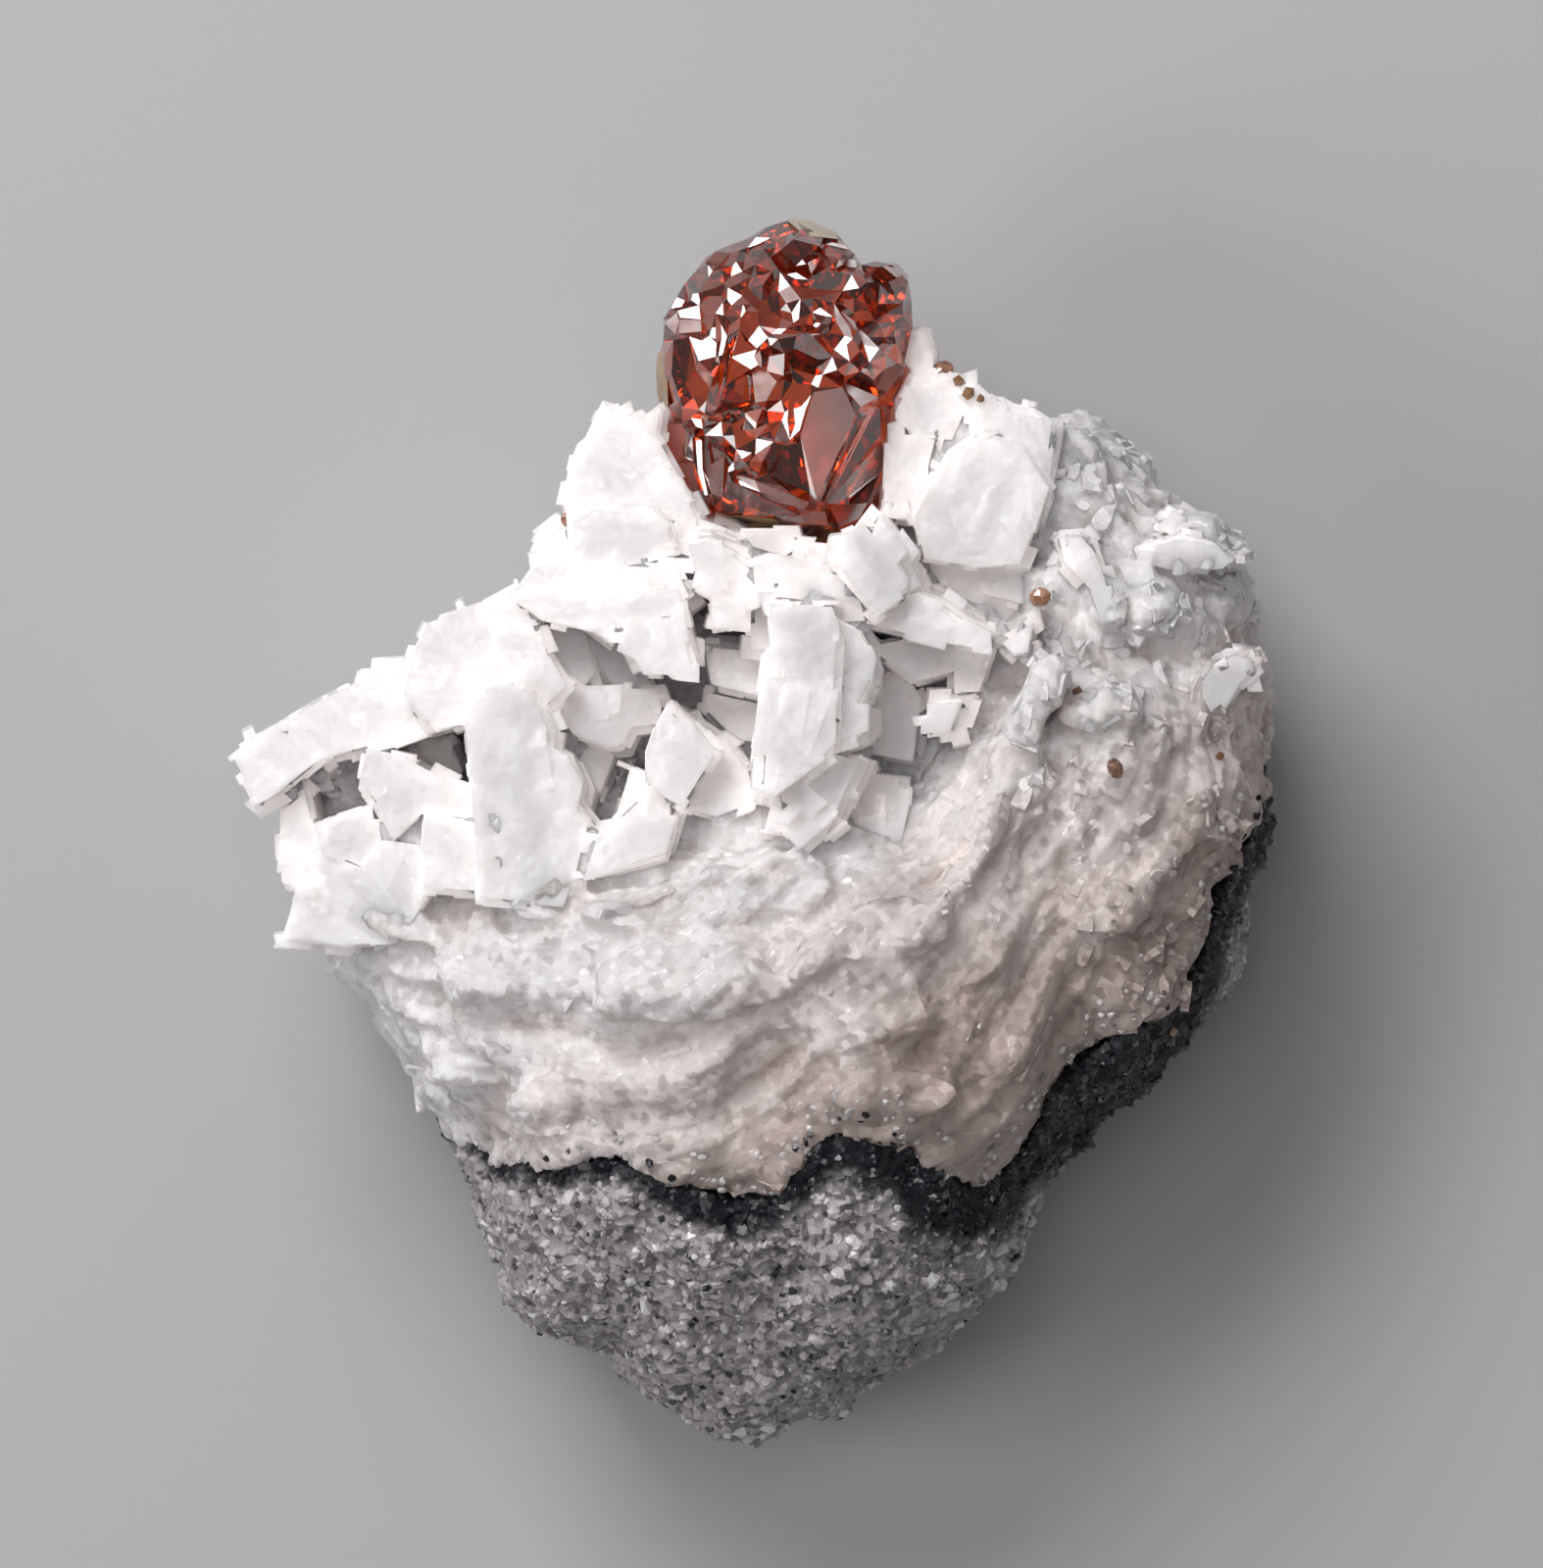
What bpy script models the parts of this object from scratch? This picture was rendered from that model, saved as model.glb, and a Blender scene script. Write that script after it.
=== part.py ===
"""Hand specimen of sphalerite on dolomite, lying on its broken back.

+Z points out of the crystal-covered front, +Y towards the gem crystal at the top end
and +X to the right. The flat of the broken back lies on the plane z = 0, and the
origin is under the middle of the whole specimen.

Sizes below are in millimetres and are turned into metres by the helpers.
"""

import math
from dataclasses import dataclass

import bmesh
import bpy
from mathutils import Vector, noise
from mathutils.geometry import delaunay_2d_cdt

MM = 0.001

# The rock body.
FRONT_SPACING = 2.15
FRONT_MARGIN = 1.1
FRONT_ROUNDING = 6.5
FRONT_BLEND = 2.6
RIM_BLEND = 7.0
FAR_SHARE = 1e-9
POINT_MERGE = 1e-6
ROUGHNESS = 1.1
ROUGHNESS_PER_MM = 0.45
BODY_CENTRE = (0.5, -3.0)
# Each ring of the back: its share of the outline's reach and of the rim's height.
BACK_RINGS = ((0.985, 0.76), (0.955, 0.52), (0.90, 0.30), (0.82, 0.12), (0.73, 0.0))
BACK_ROUGHNESS = 0.07

# The boundary between the grey host rock and the white vein that grew on it.
JOINT_GAP = 0.34
SEAM_DIP = 0.62
SEAM_STEP = 2.0
SEAM_BUMP = 0.5
SEAM_BUMPS_PER_MM = 0.35
# The block that takes in all the host rock: its ends along X and Z, and its low side.
HOST_BLOCK_X = (-33.0, 33.0)
HOST_BLOCK_Z = (-3.0, 42.0)
HOST_BLOCK_LOW_Y = -40.0

# The gem crystal.
GEM_CENTRE = (1.9, 25.6, 21.5)
GEM_LEAST_RADIUS = 6.0
GEM_GAP = 0.32
GRAIN_GAP = 0.2

# Outline of the rock seen from the front, anticlockwise from its right side.
ROCK_OUTLINE = (
    (27.7, -5.9), (28.5, -3.3), (29.3, 0.1), (29.5, 3.1), (29.85, 5.2), (29.4, 7.9),
    (29.0, 10.3), (29.3, 11.9), (28.8, 13.7), (27.6, 15.5), (26.5, 16.4), (25.8, 17.5),
    (24.0, 18.6), (23.5, 19.7), (22.0, 21.1), (20.5, 22.3), (18.9, 23.0), (17.1, 23.4),
    (15.9, 24.0), (14.5, 24.3), (13.0, 24.4), (11.5, 23.9), (9.8, 22.6), (8.2, 21.0),
    (5.0, 20.2), (1.0, 20.0), (-3.0, 20.2), (-6.0, 20.9), (-8.0, 21.6), (-9.4, 20.3),
    (-9.8, 18.0), (-10.8, 16.4), (-12.0, 14.8), (-13.6, 13.2), (-15.5, 12.2),
    (-17.4, 11.3), (-18.4, 9.8), (-20.5, 8.7), (-22.5, 7.0), (-24.5, 5.4), (-25.8, 3.4),
    (-26.2, 1.2), (-26.2, -1.0), (-25.9, -3.2), (-25.8, -5.0), (-25.6, -6.3),
    (-23.9, -6.9), (-22.9, -8.3), (-21.5, -10.3), (-20.4, -12.0), (-19.2, -13.8),
    (-18.3, -15.3), (-17.5, -16.8), (-16.8, -18.1), (-15.6, -20.3), (-15.6, -22.2),
    (-14.6, -23.8), (-13.8, -25.0), (-14.0, -26.3), (-13.3, -27.5), (-12.5, -28.4),
    (-10.7, -29.0), (-8.6, -29.4), (-7.6, -30.4), (-6.7, -31.6), (-4.7, -33.0),
    (-3.4, -33.9), (-1.6, -34.9), (0.0, -34.8), (1.7, -34.1), (3.6, -33.4),
    (5.3, -32.5), (5.8, -31.7), (7.4, -31.0), (10.7, -29.1), (13.0, -27.4),
    (14.3, -25.7), (15.0, -23.8), (15.4, -22.6), (16.1, -21.0), (17.3, -19.6),
    (18.7, -17.8), (19.9, -16.4), (21.1, -15.7), (22.3, -14.8), (23.3, -13.8),
    (24.5, -12.2), (25.3, -11.2), (26.5, -9.6), (27.6, -8.3),
)

# How high the widest part of the rock is above the table, at places round its rim.
RIM_HEIGHTS = (
    (-26.0, 2.0, 17.0), (-23.0, -8.0, 18.0), (-16.0, -20.0, 16.0), (-2.0, -35.0, 14.0),
    (12.0, -28.0, 15.0), (22.0, -15.0, 15.0), (29.0, 0.0, 15.0), (28.0, 14.0, 16.0),
    (16.0, 24.0, 16.0), (1.0, 20.0, 16.0), (-10.0, 18.0, 17.0), (-18.0, 11.0, 18.0),
)

# Height of the rock's front under and between its crystals. It is low where the
# crystals stand, so that pockets stay open between them, and high in the massive part.
FRONT_HEIGHTS = (
    (-24.0, 3.0, 19.0), (-24.0, -3.0, 22.0), (-20.0, 1.0, 22.0), (-16.6, 4.2, 19.0),
    (-20.0, 7.0, 21.0), (-15.0, 9.0, 22.0), (-18.0, -4.5, 27.5), (-22.0, -7.0, 24.5),
    (-13.0, 1.0, 24.0), (-8.0, 2.2, 19.5), (-9.0, 6.5, 21.0), (-6.5, 9.0, 22.0),
    (-9.0, 14.0, 23.0), (-8.0, 19.0, 20.0), (-3.0, 11.0, 21.5), (-1.0, 7.0, 22.0),
    (-1.0, 15.0, 23.0), (-3.0, 2.5, 25.0), (3.0, 7.0, 24.0), (8.2, 7.5, 23.0),
    (9.0, 3.0, 23.0), (8.0, 12.0, 24.0), (4.0, 14.0, 24.0), (12.3, 12.8, 22.5),
    (13.0, 18.0, 22.5), (10.0, 22.0, 19.0), (2.0, 19.0, 18.0), (-4.0, 18.5, 18.0),
    (15.5, 9.0, 29.0), (18.0, 13.0, 28.8), (21.0, 15.5, 27.0), (18.5, 20.0, 26.5),
    (24.5, 13.5, 25.0), (25.0, 10.0, 27.0), (20.0, 4.5, 31.5), (25.5, 4.0, 28.0),
    (14.0, 2.0, 33.0), (18.5, -1.5, 29.3), (22.0, -3.5, 30.0), (25.5, -5.0, 27.0),
    (11.0, -2.0, 34.2), (5.0, -1.5, 33.6), (-2.0, -1.2, 32.0), (-3.0, -4.0, 34.4),
    (-9.0, -4.0, 33.2), (-14.0, -5.5, 30.8), (-18.5, -9.5, 27.5), (-9.5, -7.3, 31.6),
    (-3.5, -8.5, 35.2), (3.5, -6.5, 34.0), (7.0, -4.5, 35.4), (12.5, -5.5, 32.6),
    (7.0, -9.0, 34.6), (13.0, -9.0, 33.0), (18.5, -8.5, 30.8), (22.0, -9.5, 28.0),
    (-13.0, -11.5, 30.0), (-7.0, -12.5, 32.8), (0.0, -12.0, 33.0), (6.5, -13.0, 33.6),
    (13.0, -13.5, 31.0), (17.5, -12.5, 29.0), (-15.5, -16.0, 26.5), (-10.0, -16.5, 30.0),
    (-3.0, -17.0, 31.0), (2.0, -17.0, 31.0), (8.0, -17.5, 30.5), (14.0, -18.5, 27.5),
    (-12.0, -22.5, 26.0), (-4.0, -23.0, 29.0), (5.0, -23.0, 29.0), (11.0, -24.0, 25.5),
    (-7.0, -28.0, 23.5), (2.0, -28.5, 25.5), (-1.0, -32.5, 19.5),
)

# Where the boundary of the grey host shows on the front, and how high the front is there.
SEAM_FRONT = (
    (-33.0, -18.5, 18.5), (-16.4, -18.8, 18.5), (-14.7, -19.7, 22.0), (-12.2, -18.8, 26.3),
    (-9.2, -18.3, 28.7), (-7.5, -17.7, 30.0), (-5.9, -18.8, 30.0), (-3.7, -20.2, 30.0),
    (-1.2, -21.3, 29.6), (1.3, -20.2, 30.0), (2.4, -18.3, 30.5), (4.7, -16.1, 31.3),
    (8.0, -16.3, 31.0), (9.4, -18.6, 30.0), (12.1, -20.8, 26.5), (14.8, -19.6, 24.0),
    (16.3, -15.5, 27.5), (18.5, -13.8, 27.0), (20.7, -11.6, 27.0), (23.5, -10.0, 24.5),
    (24.9, -8.3, 23.5), (26.0, -5.5, 23.5), (27.1, -2.8, 22.0), (28.2, 0.0, 20.0),
    (33.0, 5.0, 16.0),
)

# Outline of the gem crystal seen from the front, and its corners in front of it.
GEM_OUTLINE = (
    (2.4, 34.9), (4.8, 34.1), (5.5, 33.1), (6.4, 32.6), (8.3, 32.4), (9.1, 30.9), (9.2, 28.6),
    (9.0, 26.7), (8.1, 24.4), (7.75, 20.9), (7.25, 18.6), (5.8, 17.1), (3.4, 16.6),
    (0.9, 17.3), (-1.5, 17.5), (-3.4, 18.8), (-4.7, 20.8), (-5.5, 22.6), (-5.1, 24.0),
    (-5.3, 26.9), (-5.0, 29.2), (-3.8, 31.3), (-2.4, 32.9), (0.8, 34.4),
)
GEM_RIM_HEIGHT = 21.0
GEM_FRONT = (
    (3.6, 24.9, 28.9), (7.2, 24.6, 26.0), (5.2, 25.5, 28.0), (3.7, 18.8, 28.6),
    (2.8, 22.4, 28.7), (5.9, 23.6, 27.6), (6.2, 18.2, 26.2), (1.0, 20.1, 27.6),
    (-1.0, 20.6, 27.0), (-2.6, 19.0, 25.0), (-2.9, 22.6, 26.4), (-3.9, 22.9, 25.6),
    (-1.3, 25.4, 28.4), (0.3, 28.5, 28.4), (1.6, 25.4, 28.0), (-3.1, 26.4, 26.6),
    (-3.0, 29.2, 25.8), (-1.2, 31.4, 26.0), (1.8, 30.8, 27.6), (2.2, 33.4, 25.6),
    (5.2, 31.0, 26.6), (4.6, 28.0, 28.0), (7.4, 28.2, 25.8), (7.8, 31.0, 25.6),
    (2.0, 18.0, 26.0),
)
GEM_BACK_RING_HEIGHT = 14.6
GEM_BACK_RING_REACH = 0.72
GEM_BACK_TIP = (2.0, 26.5, 11.6)


@dataclass
class Crystal:
    """A flat-faced crystal: its front face, and how its sides run back into the rock."""

    face: tuple
    height: float
    slope: tuple = (0.0, 0.0)
    depth: float = 9.0
    lean: tuple = (0.06, -0.05)
    spread: float = 1.06


# Blade, posts and shoulder of the left side.
LEFT_CRYSTALS = (
    Crystal(((-29.85, 4.3), (-28.9, 5.0), (-25.7, 6.8), (-22.5, 8.4), (-19.0, 9.0),
             (-15.6, 7.4), (-16.4, 6.25), (-19.1, 5.1), (-21.6, 4.5), (-24.2, 3.8),
             (-26.6, 1.9), (-28.0, 1.05)), 26.4, (0.24, -0.12), 4.6, (0.15, 0.15), 1.0),
    Crystal(((-22.6, 7.2), (-22.35, 9.15), (-21.55, 9.15), (-21.5, 9.8), (-19.1, 9.95),
             (-18.2, 9.2), (-18.4, 7.0)), 24.6, (0.1, 0.0), 8.0),
    Crystal(((-26.75, 1.4), (-25.3, 2.6), (-24.9, 0.8), (-24.5, -1.2), (-25.4, -3.4),
             (-26.6, -2.95), (-26.75, 0.0)), 24.2, (0.35, 0.0), 9.0, (0.15, 0.0)),
    Crystal(((-24.8, 0.5), (-21.2, 1.65), (-20.9, -0.6), (-21.8, -2.3), (-24.4, -1.1)),
            27.2, (0.1, 0.15)),
    Crystal(((-21.7, 4.75), (-19.5, 4.3), (-17.0, 3.0), (-15.7, 2.6), (-14.8, 0.4),
             (-17.0, 0.9), (-18.6, 1.1), (-20.2, -0.4), (-21.3, 1.6), (-22.1, 2.6)),
            29.3, (0.2, 0.1), 10.0),
    Crystal(((-18.4, 1.3), (-17.0, 1.1), (-14.6, 0.4), (-14.6, -3.7), (-18.9, -3.4)),
            30.2, (0.1, -0.05), 10.0),
    Crystal(((-25.7, -2.9), (-24.3, -0.9), (-22.0, -1.9), (-20.7, -0.3), (-18.5, -0.6),
             (-18.3, -3.7), (-20.0, -6.2), (-23.0, -6.5), (-26.7, -6.2), (-26.0, -3.9)),
            26.6, (0.48, 0.12), 10.0, (0.2, 0.0)),
    Crystal(((-19.7, 8.0), (-19.15, 9.9), (-18.1, 12.15), (-15.2, 13.05), (-13.4, 14.0),
             (-11.9, 11.8), (-11.4, 10.0), (-10.8, 9.0), (-9.9, 8.3), (-11.3, 6.9),
             (-15.0, 6.6), (-16.3, 6.2), (-18.0, 5.7)), 29.6, (0.12, -0.16), 12.0),
    Crystal(((-12.3, 12.3), (-9.4, 11.3), (-8.8, 9.2), (-9.7, 8.0), (-11.5, 8.8)),
            27.0, (-0.3, -0.1)),
    Crystal(((-16.1, 6.5), (-15.7, 2.6), (-15.2, -4.0), (-10.6, -4.4), (-9.6, -2.2),
             (-8.9, 0.6), (-9.75, 1.65), (-9.5, 2.7), (-10.25, 4.3), (-11.2, 4.85),
             (-11.05, 5.9), (-11.6, 7.1), (-13.0, 8.5), (-15.0, 8.1)),
            32.0, (-0.12, -0.03), 12.0),
)

# Crystals round the deep pockets of the middle.
MIDDLE_CRYSTALS = (
    Crystal(((-11.4, 7.5), (-9.9, 8.3), (-5.4, 8.1), (-5.0, 6.9), (-5.1, 5.8),
             (-6.7, 5.6), (-7.1, 4.8), (-7.8, 4.65), (-9.9, 5.4)), 27.3, (-0.2, 0.05), 8.0),
    Crystal(((-10.6, 5.3), (-9.4, 5.5), (-7.8, 4.35), (-8.5, 2.35), (-9.4, 2.1),
             (-10.6, 3.2)), 25.4, (-0.25, 0.1), 7.0),
    Crystal(((-6.75, 3.85), (-5.7, 3.4), (-5.4, 1.8), (-7.0, 0.3), (-7.6, 0.75)),
            29.0, (0.1, -0.4)),
    Crystal(((-4.6, 7.4), (-3.4, 6.3), (-2.3, 4.9), (-2.05, 4.3), (-3.9, 1.4),
             (-5.0, 2.0), (-5.85, 3.2), (-5.85, 4.55), (-5.35, 6.0)), 32.2, (-0.2, -0.2), 12.0),
    Crystal(((-3.3, 6.5), (-1.5, 5.3), (-0.2, 3.5), (0.4, 1.4), (-2.0, 0.5),
             (-4.1, 1.1), (-2.4, 4.4)), 29.6, (-0.1, -0.35)),
    Crystal(((-8.8, 0.6), (-7.6, 0.85), (-4.8, 3.5), (-4.1, 2.1), (-4.2, 1.0),
             (-4.9, -1.4), (-9.9, -2.8)), 32.2, (0.0, -0.15), 12.0),
    Crystal(((-13.6, 13.1), (-9.3, 13.3), (-5.8, 14.0), (-4.2, 13.95), (-3.7, 12.5),
             (-3.35, 10.9), (-2.9, 9.4), (-2.9, 8.2), (-4.3, 8.35), (-4.75, 8.8),
             (-6.15, 8.8), (-7.0, 10.6), (-8.2, 10.6), (-8.85, 11.1), (-11.8, 11.8)),
            31.0, (0.12, -0.1), 5.0, (0.0, 0.35), 1.0),
    Crystal(((-13.3, 13.8), (-12.3, 15.2), (-8.0, 15.4), (-4.0, 15.1), (-3.3, 13.5),
             (-5.0, 12.4), (-12.0, 12.4)), 29.6, (0.1, -0.15), 12.0),
    Crystal(((-9.9, 11.5), (-8.0, 11.2), (-6.4, 10.8), (-5.6, 8.6), (-6.4, 7.7),
             (-8.9, 7.9)), 24.8, (0.0, 0.1), 7.0),
    Crystal(((-2.95, 16.5), (-2.0, 16.4), (-0.85, 16.0), (0.15, 15.2), (0.1, 11.0),
             (-2.05, 11.3), (-2.35, 13.0), (-3.4, 13.6), (-3.0, 15.2)),
            30.6, (0.0, -0.05), 8.0, (0.0, 0.25), 1.0),
    Crystal(((-2.7, 10.9), (1.3, 10.6), (1.0, 7.5), (-2.2, 8.3)), 26.6, (-0.05, -0.1), 8.0),
    Crystal(((-0.1, 13.8), (1.4, 13.6), (1.6, 10.2), (0.05, 10.4)), 29.4, (0.0, 0.0), 9.0),
    Crystal(((-2.7, 8.4), (0.6, 7.7), (0.5, 5.0), (-1.2, 5.3), (-2.9, 7.0)), 24.6,
            (0.0, 0.0), 6.0),
    Crystal(((1.07, 12.97), (1.13, 10.3), (0.9, 10.27), (0.53, 7.7), (0.13, 4.5),
             (0.45, 4.4), (0.27, 2.3), (1.2, 2.0), (4.2, 4.2), (5.0, 5.0), (5.0, 8.0),
             (5.2, 11.2), (4.4, 12.97)), 36.0, (-0.06, 0.02), 16.0),
    Crystal(((4.5, 12.2), (6.3, 11.3), (6.7, 10.6), (7.0, 9.9), (6.8, 8.5), (6.2, 7.4),
             (6.7, 7.3), (6.7, 5.9), (6.1, 5.2), (4.6, 4.7)), 34.4, (-0.28, 0.0), 14.0),
    Crystal(((1.2, 1.5), (3.05, 1.4), (1.9, 0.1), (0.9, 0.2)), 35.2, (0.0, -0.1), 8.0),
    Crystal(((0.9, 2.4), (4.3, 4.7), (6.5, 4.0), (4.8, 0.4), (3.0, -1.2), (1.3, 0.6)),
            34.2, (-0.3, -0.1), 10.0),
    Crystal(((-0.15, 15.4), (0.9, 15.75), (2.2, 15.55), (4.0, 15.15), (6.2, 14.6),
             (6.8, 12.0), (5.2, 11.9), (3.2, 13.0), (0.0, 13.35)), 32.6, (0.05, -0.12), 13.0),
    Crystal(((7.33, 17.9), (9.0, 15.7), (8.5, 15.1), (8.9, 14.3), (8.8, 13.4),
             (6.9, 12.1), (4.5, 14.8), (4.7, 16.0), (5.2, 16.8), (5.9, 17.1), (6.5, 17.9),
             (7.0, 17.2)), 34.2, (-0.2, -0.1), 12.0),
    Crystal(((-0.5, 17.2), (2.3, 17.2), (3.0, 16.4), (1.6, 15.5), (0.3, 15.9)),
            27.2, (0.0, 0.1), 8.0),
    Crystal(((2.6, 16.5), (4.65, 16.3), (4.75, 14.9), (2.2, 15.2)), 28.4, (0.0, 0.1), 8.0),
)

# Spire and steps left of the gem crystal.
TOP_CRYSTALS = (
    Crystal(((-10.35, 17.0), (-10.55, 19.2), (-10.1, 21.2), (-9.6, 22.5), (-9.1, 22.9),
             (-8.4, 24.4), (-8.0, 24.35), (-7.55, 23.7), (-7.1, 24.0), (-6.4, 23.3),
             (-5.2, 24.2), (-4.8, 23.8), (-5.0, 22.0), (-4.0, 20.2), (-3.3, 18.8),
             (-2.8, 17.8), (-3.2, 16.4)), 26.0, (0.1, -0.28), 9.0),
    Crystal(((-10.3, 17.4), (-8.0, 18.6), (-5.1, 18.3), (-4.7, 17.6), (-4.15, 16.2),
             (-4.2, 15.8), (-5.8, 15.3), (-10.2, 14.6)), 29.2, (0.05, -0.12), 11.0),
    Crystal(((-12.5, 16.0), (-12.0, 17.2), (-11.5, 17.6), (-10.2, 17.3), (-9.5, 14.8),
             (-12.3, 14.6)), 26.4, (0.2, -0.2)),
    Crystal(((-4.5, 18.0), (-2.8, 17.7), (-1.4, 17.2), (-0.2, 16.6), (-2.9, 15.0),
             (-4.3, 15.5)), 27.6, (0.0, -0.1)),
)

# Big smooth face, steps and plates right of the gem crystal.
RIGHT_CRYSTALS = (
    Crystal(((8.6, 26.2), (9.15, 28.6), (10.0, 28.7), (10.5, 27.2), (10.4, 25.8),
             (9.5, 25.0)), 22.6, (0.0, -0.15), 5.0),
    Crystal(((8.0, 24.4), (8.9, 26.1), (11.1, 26.1), (12.4, 25.7), (12.55, 23.9),
             (11.7, 22.0), (9.3, 22.2), (8.1, 23.2)), 24.8, (0.0, -0.2), 8.0),
    Crystal(((7.4, 17.8), (7.6, 23.2), (10.9, 22.6), (10.2, 19.8), (9.4, 17.6)),
            25.4, (0.15, -0.1)),
    Crystal(((12.3, 24.9), (13.5, 24.9), (14.5, 24.3), (15.9, 24.0), (17.4, 23.0),
             (16.9, 19.5), (15.3, 21.5), (12.4, 22.3)), 26.0, (0.0, -0.15)),
    Crystal(((12.7, 22.7), (15.3, 21.9), (16.8, 19.5), (16.0, 17.0), (15.3, 15.2),
             (12.4, 15.0), (9.7, 15.4), (9.1, 18.1), (10.0, 19.9), (10.9, 21.5)),
            28.3, (0.05, -0.1), 11.0),
    Crystal(((9.6, 15.8), (12.0, 12.2), (13.7, 11.3), (15.3, 12.9), (15.8, 14.9),
             (15.4, 15.6)), 26.6, (0.05, 0.5), 8.0),
    Crystal(((9.3, 15.4), (10.5, 13.2), (8.6, 13.3)), 30.0, (0.0, 0.1)),
    Crystal(((6.3, 11.4), (6.8, 12.5), (8.5, 13.3), (9.5, 13.5), (10.9, 12.9),
             (12.0, 12.1), (13.5, 11.3), (13.6, 10.0), (10.0, 10.6)),
            32.2, (-0.1, -0.1), 7.0, (0.0, 0.2), 1.0),
    Crystal(((6.5, 10.6), (9.0, 8.5), (11.2, 9.1), (11.3, 7.6), (12.8, 7.8),
             (13.6, 10.4), (9.5, 11.2)), 29.2, (0.0, 0.15), 8.0),
    Crystal(((9.9, 7.4), (12.25, 7.5), (11.5, 5.4), (9.35, 5.1), (9.5, 6.4),
             (9.9, 6.45)), 31.0, (0.05, 0.05), 9.0, (0.25, 0.15), 1.0),
    Crystal(((6.0, 10.0), (8.9, 8.8), (9.8, 7.3), (9.4, 4.0), (6.3, 4.6)), 27.0,
            (-0.1, 0.1), 8.0),
    Crystal(((4.6, 3.6), (9.0, 3.0), (9.0, 1.6), (8.2, -2.4), (4.8, -2.8)), 30.0,
            (-0.05, -0.6), 9.0),
    Crystal(((14.0, 10.9), (15.8, 12.1), (15.6, 10.1), (14.9, 9.9)), 31.4, (0.1, 0.0), 7.0),
    Crystal(((14.3, 6.2), (15.4, 5.2), (17.6, 8.9), (16.9, 9.9), (16.2, 9.7)), 33.0,
            (0.0, 0.0), 7.0),
    Crystal(((17.2, 6.3), (19.6, 8.1), (20.4, 8.4), (21.5, 8.1), (21.7, 6.8),
             (19.2, 5.7)), 32.0, (0.1, 0.1), 6.0),
    Crystal(((20.5, 15.6), (22.3, 15.7), (22.9, 14.2), (24.1, 12.8), (23.6, 11.2),
             (22.1, 12.0), (21.3, 13.5)), 28.3, (-0.1, -0.1), 6.0),
    Crystal(((17.3, 17.0), (18.6, 17.1), (19.6, 16.0), (20.3, 14.0), (20.9, 12.0),
             (19.8, 11.8), (19.2, 13.6), (17.9, 15.0)), 29.5, (-0.1, -0.1), 6.0),
    Crystal(((22.4, 16.2), (24.3, 16.7), (26.3, 16.3), (27.6, 15.4), (26.8, 15.0),
             (24.0, 14.7), (22.5, 15.1)), 26.4, (-0.2, 0.1), 7.0, (0.0, 0.2)),
    Crystal(((23.0, 17.3), (24.1, 18.5), (25.8, 17.4), (25.0, 16.3)), 24.6, (-0.3, 0.0), 7.0),
    Crystal(((25.2, 8.8), (25.7, 9.5), (26.9, 10.3), (28.3, 10.1), (28.6, 9.0),
             (27.3, 7.9), (26.8, 7.0), (26.0, 6.3), (25.3, 7.6)), 27.0, (-0.4, 0.0), 7.0),
)

# Ledges of the massive part below the crystals.
LOWER_LEDGES = (
    Crystal(((-16.2, -4.3), (-15.2, -4.0), (-14.4, -4.9), (-14.2, -6.0), (-13.3, -6.5),
             (-12.4, -6.1), (-12.3, -7.2), (-13.3, -7.6), (-12.7, -9.1), (-15.2, -8.7),
             (-16.5, -9.1), (-17.4, -8.0), (-18.3, -7.1), (-17.0, -5.8)),
            30.6, (0.25, -0.02), 6.0),
    Crystal(((-22.8, -4.7), (-20.6, -4.3), (-17.7, -4.6), (-17.5, -6.3), (-19.9, -6.7),
             (-21.2, -6.2)), 28.1, (0.4, 0.0), 6.0),
    Crystal(((-13.6, -4.4), (-12.2, -2.9), (-10.5, -2.6), (-11.0, -5.0)), 32.7,
            (-0.1, 0.0), 5.0),
    Crystal(((-10.0, -3.4), (-6.4, -3.3), (-2.6, -2.0), (-0.8, -2.1), (1.2, -1.0),
             (4.8, -1.3), (3.8, -4.4), (0.8, -4.2), (-2.0, -5.0), (-5.8, -5.4),
             (-9.8, -5.0)), 34.5, (0.02, -0.02), 6.0),
    Crystal(((2.2, -8.2), (3.4, -6.4), (5.0, -4.8), (6.9, -3.1), (8.6, -2.6),
             (10.6, -4.2), (10.8, -5.6), (8.0, -6.3), (5.0, -7.2)), 35.5, (-0.1, -0.05), 6.0),
    Crystal(((3.0, -8.9), (5.0, -7.4), (7.8, -6.4), (8.8, -7.8), (9.6, -8.4),
             (10.4, -10.0), (10.3, -11.4), (8.0, -11.6), (5.8, -10.6)),
            34.8, (-0.12, 0.05), 6.0),
    Crystal(((4.8, -15.0), (4.7, -13.8), (5.3, -11.3), (7.6, -12.0), (8.2, -13.3),
             (10.8, -13.7), (11.4, -14.3), (10.6, -15.0), (8.0, -15.4), (6.2, -15.2)),
            33.9, (-0.1, -0.1), 7.0),
    Crystal(((17.8, -4.9), (18.1, -4.0), (18.9, -3.0), (20.2, -3.3), (21.5, -3.2),
             (22.6, -4.2), (21.3, -5.5), (19.3, -5.3)), 31.0, (-0.2, 0.1), 6.0),
    Crystal(((-8.2, -7.8), (-6.2, -6.0), (-2.6, -6.2), (0.0, -7.2), (1.8, -8.6),
             (-1.5, -10.0), (-5.0, -10.6), (-8.0, -9.6)), 34.9, (0.05, -0.05), 6.0),
    Crystal(((-9.4, -13.8), (-9.6, -12.7), (-11.2, -12.9), (-11.3, -13.8), (-13.5, -14.1),
             (-13.0, -16.0), (-10.4, -16.2)), 30.6, (0.2, 0.1), 6.0),
)

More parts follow.
